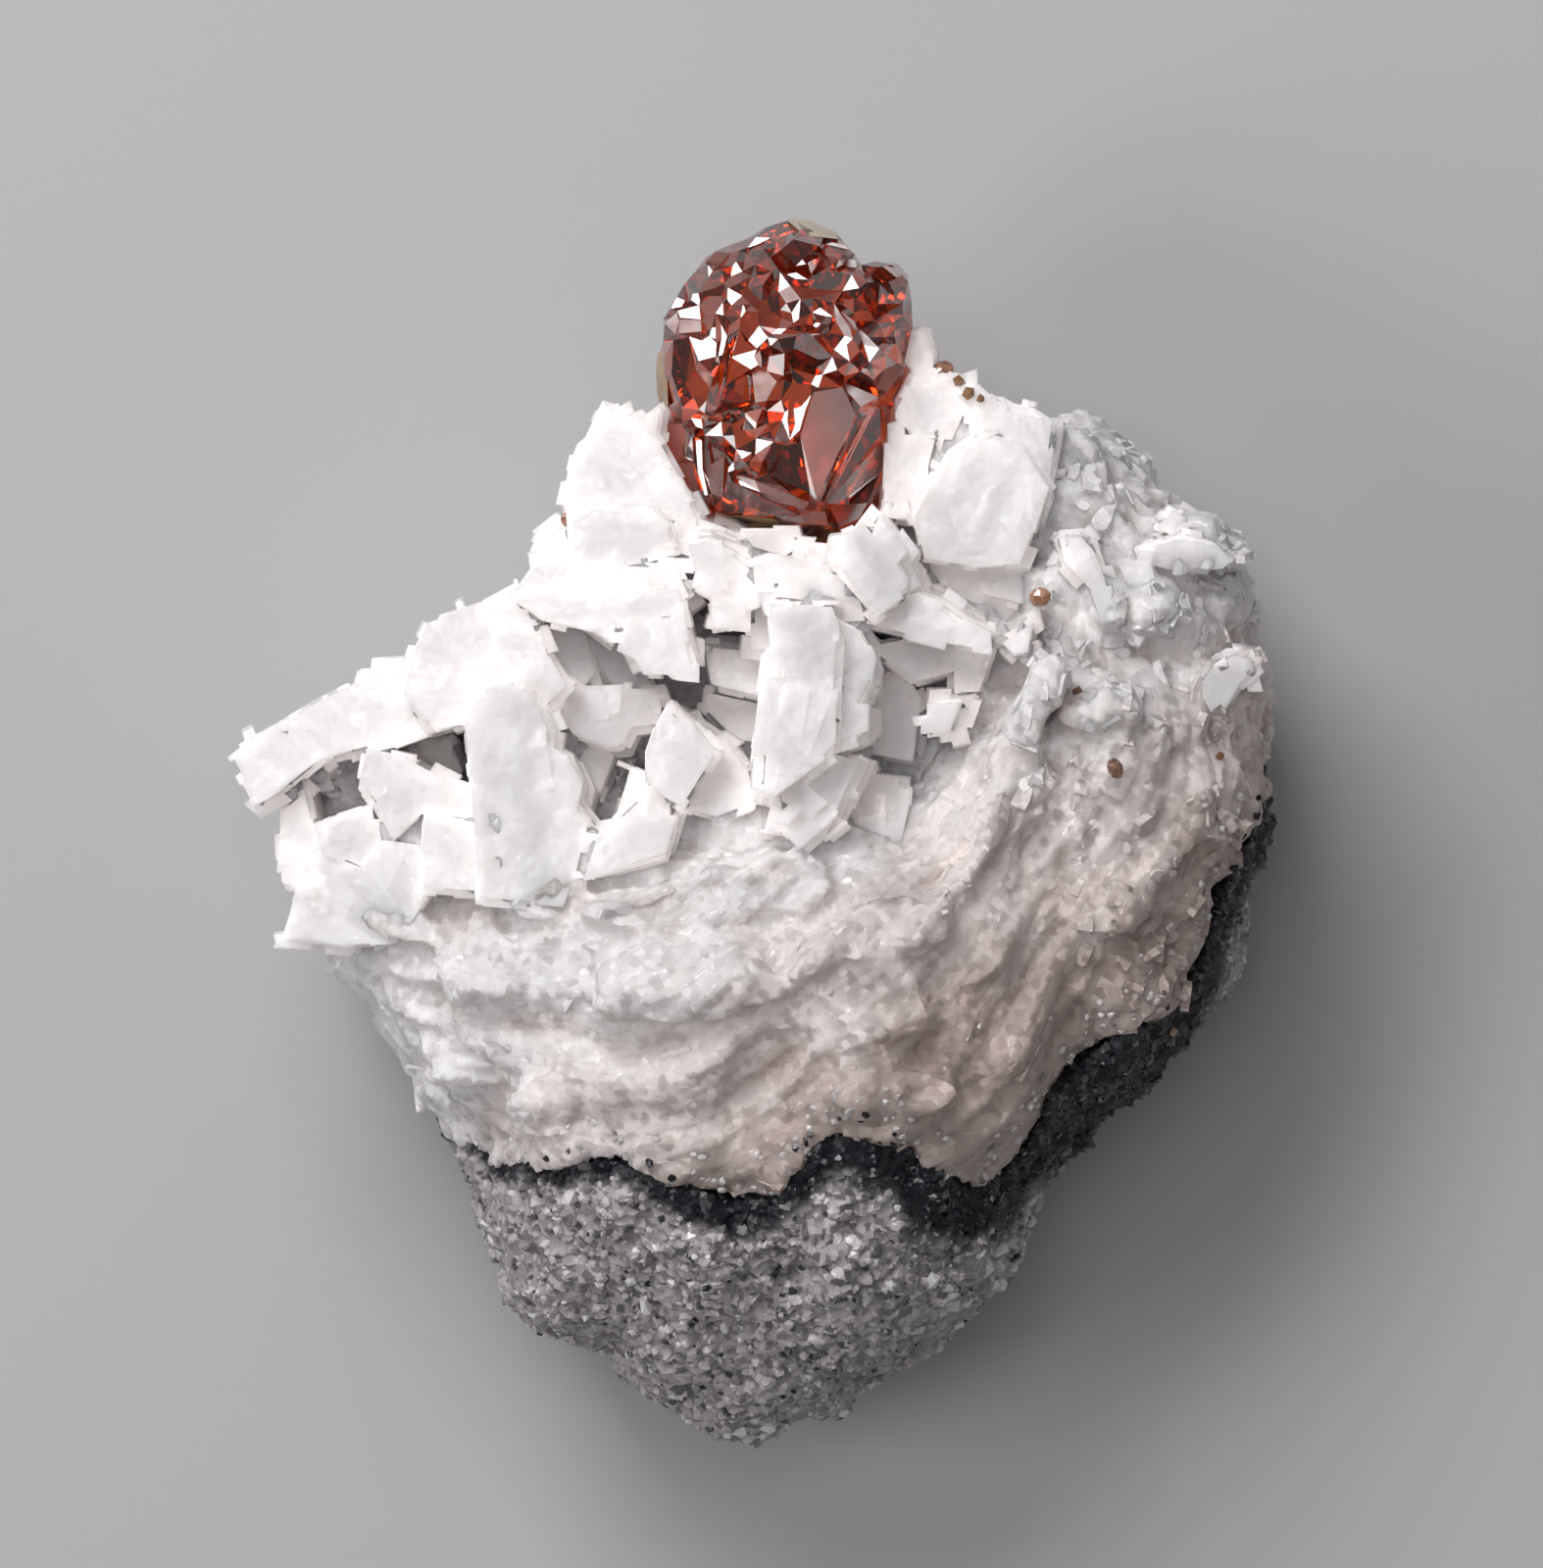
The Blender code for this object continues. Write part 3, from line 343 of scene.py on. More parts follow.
class Graph:
    """A node tree that is filled by short calls."""

    def __init__(self, tree: bpy.types.NodeTree) -> None:
        """Take the tree to fill."""
        self.tree = tree

    def node(self, kind: str, settings: dict[str, object] | None = None,
             **inputs: object) -> bpy.types.Node:
        """Add a node.

        Args:
            kind: The node's type, without its ShaderNode prefix.
            settings: The node's own properties.
            inputs: Socket values or sockets to link, by name, with _ for a space.

        Returns:
            The node.
        """
        node = self.tree.nodes.new("ShaderNode" + kind)
        for name, value in (settings or {}).items():
            setattr(node, name, value)
        for name, value in inputs.items():
            self.set(node, name.replace("_", " "), value)
        return node

    def set(self, node: bpy.types.Node, socket: str | int, value: object) -> None:
        """Give a socket a value, or link another socket to it.

        Args:
            node: The node.
            socket: The socket's name or number.
            value: The value, or the socket to link.
        """
        if isinstance(value, bpy.types.NodeSocket):
            self.tree.links.new(value, node.inputs[socket])
        else:
            node.inputs[socket].default_value = value

    def math(self, operation: str, first: object, second: object = 0.0) -> bpy.types.NodeSocket:
        """The result of a Math node.

        Args:
            operation: The node's operation.
            first: Its first value or socket.
            second: Its second value or socket.

        Returns:
            The result.
        """
        node = self.node("Math", {"operation": operation})
        self.set(node, 0, first)
        self.set(node, 1, second)
        return node.outputs[0]

    def vector_math(self, operation: str, first: object, second: object = None,
                    output: str = "Vector") -> bpy.types.NodeSocket:
        """The result of a Vector Math node.

        Args:
            operation: The node's operation.
            first: Its first vector or socket.
            second: Its second vector, scale or socket.
            output: The output that is used.

        Returns:
            The result.
        """
        node = self.node("VectorMath", {"operation": operation})
        self.set(node, 0, first)
        if second is not None:
            self.set(node, "Scale" if operation == "SCALE" else 1, second)
        return node.outputs[output]

    def mix(self, factor: object, first: object, second: object) -> bpy.types.NodeSocket:
        """One colour blended into another by a factor.

        Args:
            factor: How much of the second colour shows, from 0 to 1.
            first: The colour at 0.
            second: The colour at 1.

        Returns:
            The colour.
        """
        node = self.node("Mix", {"data_type": "RGBA"})
        self.set(node, "Factor", factor)
        self.set(node, 6, first if isinstance(first, bpy.types.NodeSocket) else (*first, 1.0))
        self.set(node, 7, second if isinstance(second, bpy.types.NodeSocket) else (*second, 1.0))
        return node.outputs[2]

    def span(self, value: object, low: float, high: float, to_low: float = 0.0,
             to_high: float = 1.0) -> bpy.types.NodeSocket:
        """A value mapped smoothly from one range to another.

        Args:
            value: The value or socket.
            low: Where the first range starts.
            high: Where it ends.
            to_low: The result at its start.
            to_high: The result at its end.

        Returns:
            The result.
        """
        node = self.node("MapRange", {"interpolation_type": "SMOOTHSTEP"}, Value=value,
                         From_Min=low, From_Max=high, To_Min=to_low, To_Max=to_high)
        return node.outputs[0]


def new_group(name: str, inputs: dict[str, float], outputs: dict[str, str]) -> tuple[Graph, dict]:
    """Start a shader node group.

    Args:
        name: The group's name.
        inputs: Number inputs with their defaults; Vector is always the first input.
        outputs: Output names and their socket kinds, such as Float or Color.

    Returns:
        The group's graph, and its input sockets by name.
    """
    tree = bpy.data.node_groups.new(name, "ShaderNodeTree")
    tree.interface.new_socket("Vector", in_out="INPUT", socket_type="NodeSocketVector")
    for socket, default in inputs.items():
        made = tree.interface.new_socket(socket, in_out="INPUT", socket_type="NodeSocketFloat")
        made.default_value = default
    for socket, kind in outputs.items():
        tree.interface.new_socket(socket, in_out="OUTPUT", socket_type="NodeSocket" + kind)
    graph = Graph(tree)
    start = tree.nodes.new("NodeGroupInput")
    tree.nodes.new("NodeGroupOutput")
    return graph, dict(start.outputs.items())


def end_group(graph: Graph, **results: bpy.types.NodeSocket) -> bpy.types.NodeTree:
    """Link a group's results to its output sockets and hand back the group.

    Args:
        graph: The group's graph.
        results: The sockets to put out, by output name.

    Returns:
        The group.
    """
    output = next(node for node in graph.tree.nodes if node.type == "GROUP_OUTPUT")
    for name, socket in results.items():
        graph.tree.links.new(socket, output.inputs[name])
    return graph.tree


class Effects:
    """The surface effects that more than one mineral shares, as node groups."""

    def __init__(self) -> None:
        """Build each group once."""
        self.facets = self.build_facets()
        self.sparkle = self.build_sparkle()
        self.patches = self.build_patches()
        self.streaks = self.build_streaks()

    @staticmethod
    def build_facets() -> bpy.types.NodeTree:
        """Flat facets, each with its own lean: the height, and a shade for each facet.

        Returns:
            The group.
        """
        graph, inputs = new_group("facets", {"Size": 1.0}, {"Height": "Float", "Shade": "Float"})
        per_mm = graph.math("DIVIDE", 1.0 / MM, inputs["Size"])
        spot = graph.vector_math("SCALE", inputs["Vector"], per_mm)
        cells = graph.node("TexVoronoi", Vector=spot, Scale=1.0)
        offset = graph.vector_math("SUBTRACT", spot, cells.outputs["Position"])
        lean = graph.vector_math("SUBTRACT", cells.outputs["Color"], (0.5, 0.5, 0.5))
        slope = graph.vector_math("DOT_PRODUCT", offset, lean, "Value")
        height = graph.math("MULTIPLY", slope, graph.math("MULTIPLY", inputs["Size"], 2.0 * MM))
        shade = graph.node("SeparateColor", Color=cells.outputs["Color"]).outputs["Red"]
        return end_group(graph, Height=height, Shade=shade)

    @staticmethod
    def build_sparkle() -> bpy.types.NodeTree:
        """Rare small cleavage mirrors: 1 on a few small cells and 0 on the rest.

        Returns:
            The group.
        """
        graph, inputs = new_group("sparkle", {"Size": 0.5, "Share": 0.1}, {"Mask": "Float"})
        per_mm = graph.math("DIVIDE", 1.0 / MM, inputs["Size"])
        spot = graph.vector_math("SCALE", inputs["Vector"], per_mm)
        cells = graph.node("TexVoronoi", Vector=spot, Scale=1.0)
        pick = graph.node("SeparateColor", Color=cells.outputs["Color"]).outputs["Green"]
        return end_group(graph, Mask=graph.math("LESS_THAN", pick, inputs["Share"]))

    @staticmethod
    def build_patches() -> bpy.types.NodeTree:
        """Soft-edged blotches: a mask from 0 to 1 over a share of the surface.

        Returns:
            The group.
        """
        graph, inputs = new_group("patches", {"Size": 5.0, "Share": 0.5, "Softness": 0.1},
                                  {"Mask": "Float"})
        per_mm = graph.math("DIVIDE", 1.0 / MM, inputs["Size"])
        spot = graph.vector_math("SCALE", inputs["Vector"], per_mm)
        cloud = graph.node("TexNoise", Vector=spot, Scale=1.0, Detail=2.0, Roughness=0.6)
        edge = graph.math("SUBTRACT", 1.0, inputs["Share"])
        low = graph.math("SUBTRACT", edge, inputs["Softness"])
        high = graph.math("ADD", edge, inputs["Softness"])
        node = graph.node("MapRange", {"interpolation_type": "SMOOTHSTEP"},
                          Value=cloud.outputs["Fac"], From_Min=low, From_Max=high)
        return end_group(graph, Mask=node.outputs[0])

    @staticmethod
    def build_streaks() -> bpy.types.NodeTree:
        """Fine cleavage streaks, long in Y: their height, and a mask of the few that glint.

        Returns:
            The group.
        """
        graph, inputs = new_group("streaks", {"Size": 0.3}, {"Height": "Float", "Glint": "Float"})
        spot = graph.vector_math("MULTIPLY", inputs["Vector"], (1.0, 0.13, 0.5))
        per_mm = graph.math("DIVIDE", 1.0 / MM, inputs["Size"])
        spot = graph.vector_math("SCALE", spot, per_mm)
        cells = graph.node("TexVoronoi", Vector=spot, Scale=1.0)
        cloud = graph.node("TexNoise", Vector=spot, Scale=0.35, Detail=1.5)
        pick = graph.node("SeparateColor", Color=cells.outputs["Color"]).outputs["Red"]
        height = graph.math("MULTIPLY", pick, 0.07 * MM)
        height = graph.math("ADD", height, graph.math("MULTIPLY", cloud.outputs["Fac"], 0.6 * MM))
        group = graph.math("GREATER_THAN", cloud.outputs["Fac"], 0.56)
        glint = graph.math("MULTIPLY", group, graph.math("LESS_THAN", pick, 0.35))
        return end_group(graph, Height=height, Glint=glint)


class Surface:
    """A material whose shader is filled by a finish."""

    def __init__(self, name: str, effects: Effects) -> None:
        """Start a material with a plain Principled shader.

        Args:
            name: The material's name.
            effects: The shared effects.
        """
        self.material = bpy.data.materials.new(name)
        self.material.use_nodes = True
        self.graph = Graph(self.material.node_tree)
        self.shader = self.material.node_tree.nodes["Principled BSDF"]
        self.effects = effects
        self.place = self.graph.node("TexCoord").outputs["Object"]

    def effect(self, group: bpy.types.NodeTree, **values: object) -> bpy.types.Node:
        """Place a shared effect with its own values, on the object's coordinates.

        Args:
            group: The effect.
            values: Its inputs by name.

        Returns:
            The effect's node.
        """
        values.setdefault("Vector", self.place)
        node = self.graph.node("Group", {"node_tree": group})
        for name, value in values.items():
            self.graph.set(node, name, value)
        return node

    def set(self, **values: object) -> None:
        """Set or link the shader's sockets by name, with _ for a space."""
        for name, value in values.items():
            self.graph.set(self.shader, name.replace("_", " "), value)

    def bump(self, height: bpy.types.NodeSocket, strength: float = 1.0) -> None:
        """Raise the surface by a height in metres."""
        node = self.graph.node("Bump", Height=height, Strength=strength, Distance=1.0)
        self.set(Normal=node.outputs["Normal"])


# Finishes.

def vein_colour(surface: Surface, white: object, pink: Colour, beige_and_shade: Colour) -> bpy.types.NodeSocket:
    """White at the crystals, pink further down and beige towards the grey host and the lower right,
    partly the vein's own colour and partly painted shade.

    Args:
        surface: The material.
        white: The colour at the crystals.
        pink: The colour of the middle.
        beige_and_shade: The colour at the host and the lower right, partly its own beige and partly
            painted shade.

    Returns:
        The colour.
    """
    graph = surface.graph
    axes = graph.node("SeparateXYZ", Vector=surface.place)
    lower = graph.math("SUBTRACT", graph.math("MULTIPLY", axes.outputs["X"], 0.65), axes.outputs["Y"])
    cloud = surface.effect(surface.effects.patches, Size=4.5, Share=0.5, Softness=0.35)
    lower = graph.math("ADD", lower, graph.span(cloud.outputs["Mask"], 0.0, 1.0, -2.6 * MM, 2.6 * MM))
    colour = graph.mix(graph.span(lower, 3.0 * MM, 13.0 * MM), white, pink)
    # Partly painted shade: the colour turns darker beige towards the lower right, where the slopes face
    # away from the light, as well as towards the host.
    return graph.mix(graph.span(lower, 11.5 * MM, 20.0 * MM), colour, beige_and_shade)


@dataclass(frozen=True)
class DolomiteFinish:
    """White dolomite: pearly in its free crystals, pinkish and streaky where it is massive."""

    name: str
    white: Colour = (0.90, 0.875, 0.87)
    shade: Colour = (0.82, 0.785, 0.78)
    pink: Colour = (0.79, 0.705, 0.68)
    # The beige colour below is partly the vein's own tint near the host and partly painted shade of the
    # lower-right slopes that face away from the light.
    beige_and_shade: Colour = (0.53, 0.425, 0.385)
    # Painted shade: the colour that the massive vein is darkened towards in the hollows of its relief.
    deep: Colour = (0.40, 0.31, 0.275)
    light_reach: float = 1.3
    glow: float = 0.95
    massive: bool = False
    break_size: float = 0.5
    streak_size: float = 0.3
    mosaic_size: float = 1.9
    mirror_size: float = 0.42
    mirror_share: float = 0.05

    def make(self, effects: Effects) -> bpy.types.Material:
        """Build the material.

        Args:
            effects: The shared effects.

        Returns:
            The material.
        """
        surface = Surface(self.name, effects)
        graph = surface.graph
        if self.massive:
            fine = surface.effect(effects.facets, Size=self.break_size)
            colour = graph.mix(graph.math("MULTIPLY", fine.outputs["Shade"], 0.5), self.white, self.shade)
            colour = vein_colour(surface, colour, self.pink, self.beige_and_shade)
            # Painted shade: the hollows of the sculpted relief are darkened towards the deep colour.
            painted_hollow_shade = graph.node("Attribute", {"attribute_name": "painted_hollow_shade"}).outputs["Fac"]
            colour = graph.mix(graph.math("MULTIPLY", painted_hollow_shade, 0.4), colour, self.deep)
            lamella = graph.node("Attribute", {"attribute_name": "lamella"}).outputs["Vector"]
            streaks = surface.effect(effects.streaks, Vector=lamella, Size=self.streak_size)
            height = graph.math("MULTIPLY", fine.outputs["Height"], 0.65)
            height = graph.math("ADD", height, streaks.outputs["Height"])
            mirror = streaks.outputs["Glint"]
        else:
            mosaic = surface.effect(effects.facets, Size=self.mosaic_size)
            colour = graph.mix(graph.math("MULTIPLY", mosaic.outputs["Shade"], 0.5), self.white,
                               self.shade)
            waves = graph.node("TexNoise", Vector=graph.vector_math("SCALE", surface.place, 0.55 / MM),
                               Scale=1.0, Detail=2.0, Roughness=0.55)
            height = graph.math("MULTIPLY", waves.outputs["Fac"], 0.45 * MM)
            height = graph.math("ADD", height, graph.math("MULTIPLY", mosaic.outputs["Height"], 0.12))
            sparkle = surface.effect(effects.sparkle, Size=self.mirror_size, Share=self.mirror_share)
            mirror = sparkle.outputs["Mask"]
        rough = graph.span(mirror, 0.0, 1.0, 0.45, 0.16)
        surface.shader.subsurface_method = "BURLEY"
        surface.set(Base_Color=colour, Roughness=rough, Subsurface_Weight=self.glow,
                    Subsurface_Radius=(1.0, 0.92, 0.9), Subsurface_Scale=self.light_reach * MM,
                    IOR=1.6)
        surface.bump(height)
        return surface.material


@dataclass(frozen=True)
class HostRockFinish:
    """Grey granular dolostone, black and glittering along its contact with the vein."""

    name: str = "grey dolostone"
    pale: Colour = (0.60, 0.56, 0.565)
    dark: Colour = (0.24, 0.22, 0.225)
    black: Colour = (0.012, 0.013, 0.02)

    def make(self, effects: Effects) -> bpy.types.Material:
        """Build the material.

        Args:
            effects: The shared effects.

        Returns:
            The material.
        """
        surface = Surface(self.name, effects)
        graph = surface.graph
        band = graph.node("Attribute", {"attribute_name": "dark"}).outputs["Fac"]
        grains = surface.effect(effects.facets, Size=0.5)
        colour = graph.mix(grains.outputs["Shade"], self.dark, self.pale)
        colour = graph.mix(band, colour, self.black)
        rough = graph.span(grains.outputs["Shade"], 0.6, 0.75, 0.5, 0.16)
        surface.set(Base_Color=colour, Roughness=rough)
        surface.bump(graph.math("MULTIPLY", grains.outputs["Height"], 0.5))
        return surface.material


@dataclass(frozen=True)
class HostGrainFinish:
    """The single grains of the host, from black through grey to translucent white."""

    name: str = "dolostone grains"
    black: Colour = (0.008, 0.009, 0.014)
    grey: Colour = (0.52, 0.485, 0.49)
    white: Colour = (0.76, 0.73, 0.735)

    def make(self, effects: Effects) -> bpy.types.Material:
        """Build the material.

        Args:
            effects: The shared effects.

        Returns:
            The material.
        """
        surface = Surface(self.name, effects)
        graph = surface.graph
        shade = graph.node("Attribute", {"attribute_name": "shade"}).outputs["Fac"]
        colour = graph.mix(graph.span(shade, 0.0, 0.3), self.black, self.grey)
        colour = graph.mix(graph.span(shade, 0.35, 1.0), colour, self.white)
        surface.set(Base_Color=colour, Roughness=0.2)
        return surface.material


@dataclass(frozen=True)
class ResinFinish:
    """Resinous sphalerite and its crusts, from dark brown through ochre to cream."""

    name: str = "resinous sphalerite"
    brown: Colour = (0.16, 0.055, 0.02)
    ochre: Colour = (0.46, 0.27, 0.11)
    cream: Colour = (0.62, 0.52, 0.38)

    def make(self, effects: Effects) -> bpy.types.Material:
        """Build the material.

        Args:
            effects: The shared effects.

        Returns:
            The material.
        """
        surface = Surface(self.name, effects)
        graph = surface.graph
        shade = graph.node("Attribute", {"attribute_name": "shade"}).outputs["Fac"]
        colour = graph.mix(graph.span(shade, 0.1, 0.6), self.brown, self.ochre)
        colour = graph.mix(graph.span(shade, 0.6, 1.0), colour, self.cream)
        surface.set(Base_Color=colour, Roughness=0.22, IOR=2.0)
        return surface.material


@dataclass(frozen=True)
class AmberFinish:
    """Small sphalerite crystals, resinous orange-brown with a mottled clarity."""

    name: str
    pale: Colour = (0.52, 0.24, 0.12)
    dark: Colour = (0.24, 0.085, 0.035)

    def make(self, effects: Effects) -> bpy.types.Material:
        """Build the material.

        Args:
            effects: The shared effects.

        Returns:
            The material.
        """
        surface = Surface(self.name, effects)
        graph = surface.graph
        grains = surface.effect(effects.facets, Size=0.35)
        cloud = surface.effect(effects.patches, Size=0.5, Share=0.5, Softness=0.2)
        colour = graph.mix(cloud.outputs["Mask"], self.dark, self.pale)
        rough = graph.span(grains.outputs["Shade"], 0.3, 0.7, 0.12, 0.3)
        surface.set(Base_Color=colour, Roughness=rough, IOR=2.2)
        surface.bump(graph.math("MULTIPLY", grains.outputs["Height"], 0.5))
        return surface.material


@dataclass(frozen=True)
class SphaleriteFinish:
    """Clear red sphalerite, with adamantine faces."""

    name: str = "red sphalerite"

    def make(self, effects: Effects) -> bpy.types.Material:
        """Build the material.

        Args:
            effects: The shared effects.

        Returns:
            The material.
        """
        surface = Surface(self.name, effects)
        graph = surface.graph
        etched = graph.node("Attribute", {"attribute_name": "etched"}).outputs["Fac"]
        waves = graph.node("TexNoise", Vector=graph.vector_math("SCALE", surface.place, 0.9 / MM),
                           Scale=1.0, Detail=2.0)
        rough = graph.math("MULTIPLY", graph.span(waves.outputs["Fac"], 0.3, 0.7, 0.36, 0.52), etched)
        surface.set(Base_Color=(0.88, 0.2, 0.06, 1.0), Roughness=graph.math("ADD", rough, 0.015),
                    IOR=2.37, Transmission_Weight=0.97)
        absorb = graph.node("VolumeAbsorption", Color=(0.97, 0.66, 0.4, 1.0), Density=150.0)
        output = next(node for node in surface.material.node_tree.nodes
                      if node.type == "OUTPUT_MATERIAL")
        graph.set(output, "Volume", absorb.outputs[0])
        return surface.material


# Where the free crystals give way to the massive vein, anticlockwise.
CRYSTAL_ZONE: Outline = (
    (-31.0, -6.6), (-20.0, -6.8), (-14.5, -4.4), (-6.0, -2.8), (1.0, -0.4), (4.4, -2.4),
    (8.9, -2.6), (9.6, 3.5), (12.9, 7.0), (14.4, 11.0), (16.2, 17.0), (17.4, 23.5),
    (14.0, 31.0), (-31.0, 31.0),
)
# The middle of the arcs that the lamellae of the vein follow.
FAN_CENTRE = Vector((-12.0, 14.0, 0.0))


@dataclass(frozen=True)
class Crystal:
    """A flat-faced crystal: its front face, and how its sides run back into the rock."""

    face: Outline
    height: float
    slope: Point = (0.0, 0.0)
    depth: float = 9.0
    lean: Point = (0.06, -0.05)
    spread: float = 1.06

    def middle(self) -> Vector:
        """The mean of the face's corners."""
        return sum((Vector(corner) for corner in self.face), Vector((0.0, 0.0))) / len(self.face)

    def grain(self) -> Vector:
        """The direction in which the face is longest, which its growth steps follow.

        Returns:
            The direction.
        """
        middle = self.middle()
        along = across = both = 0.0
        for corner in self.face:
            away = Vector(corner) - middle
            along += away.x**2
            across += away.y**2
            both += away.x * away.y
        turn = 0.5 * math.atan2(2.0 * both, along - across)
        return Vector((math.cos(turn), math.sin(turn)))


# Blade, posts and shoulder of the left side.
LEFT_CRYSTALS = (
    Crystal(((-29.85, 4.3), (-28.9, 5.0), (-25.7, 6.8), (-22.5, 8.4), (-19.0, 9.0),
             (-15.6, 7.4), (-16.4, 6.25), (-19.1, 5.1), (-21.6, 4.5), (-24.2, 3.8),
             (-26.6, 1.9), (-28.0, 1.05)), 26.4, (0.24, -0.12), 4.6, (0.15, 0.15), 1.0),
    Crystal(((-22.6, 7.2), (-22.35, 9.15), (-21.55, 9.15), (-21.5, 9.8), (-19.1, 9.95),
             (-18.2, 9.2), (-18.4, 7.0)), 24.6, (0.1, 0.0), 8.0),
    Crystal(((-26.75, 1.4), (-25.3, 2.6), (-24.9, 0.8), (-24.5, -1.2), (-25.4, -3.4),
             (-26.6, -2.95), (-26.75, 0.0)), 24.2, (0.35, 0.0), 9.0, (0.15, 0.0)),
    Crystal(((-24.8, 0.5), (-21.2, 1.65), (-20.9, -0.6), (-21.8, -2.3), (-24.4, -1.1)),
            27.2, (0.1, 0.15)),
    Crystal(((-21.7, 4.75), (-19.5, 4.3), (-17.0, 3.0), (-15.7, 2.6), (-14.8, 0.4),
             (-17.0, 0.9), (-18.6, 1.1), (-20.2, -0.4), (-21.3, 1.6), (-22.1, 2.6)),
            29.3, (0.2, 0.1), 10.0),
    Crystal(((-18.4, 1.3), (-17.0, 1.1), (-14.6, 0.4), (-14.6, -3.7), (-18.9, -3.4)),
            30.2, (0.1, -0.05), 10.0),
    Crystal(((-25.7, -2.9), (-24.3, -0.9), (-22.0, -1.9), (-20.7, -0.3), (-18.5, -0.6),
             (-18.3, -3.7), (-20.0, -6.2), (-23.0, -6.5), (-26.7, -6.2), (-26.0, -3.9)),
            26.6, (0.48, 0.12), 10.0, (0.2, 0.0)),
    Crystal(((-19.7, 8.0), (-19.15, 9.9), (-18.1, 12.15), (-15.2, 13.05), (-13.4, 14.0),
             (-11.9, 11.8), (-11.4, 10.0), (-10.8, 9.0), (-9.9, 8.3), (-11.3, 6.9),
             (-15.0, 6.6), (-16.3, 6.2), (-18.0, 5.7)), 29.6, (0.12, -0.16), 12.0),
    Crystal(((-12.3, 12.3), (-9.4, 11.3), (-8.8, 9.2), (-9.7, 8.0), (-11.5, 8.8)),
            27.0, (-0.3, -0.1)),
    Crystal(((-16.1, 6.5), (-15.7, 2.6), (-15.2, -4.0), (-10.6, -4.4), (-9.6, -2.2),
             (-8.9, 0.6), (-9.75, 1.65), (-9.5, 2.7), (-10.25, 4.3), (-11.2, 4.85),
             (-11.05, 5.9), (-11.6, 7.1), (-13.0, 8.5), (-15.0, 8.1)),
            32.0, (-0.12, -0.03), 12.0),
)

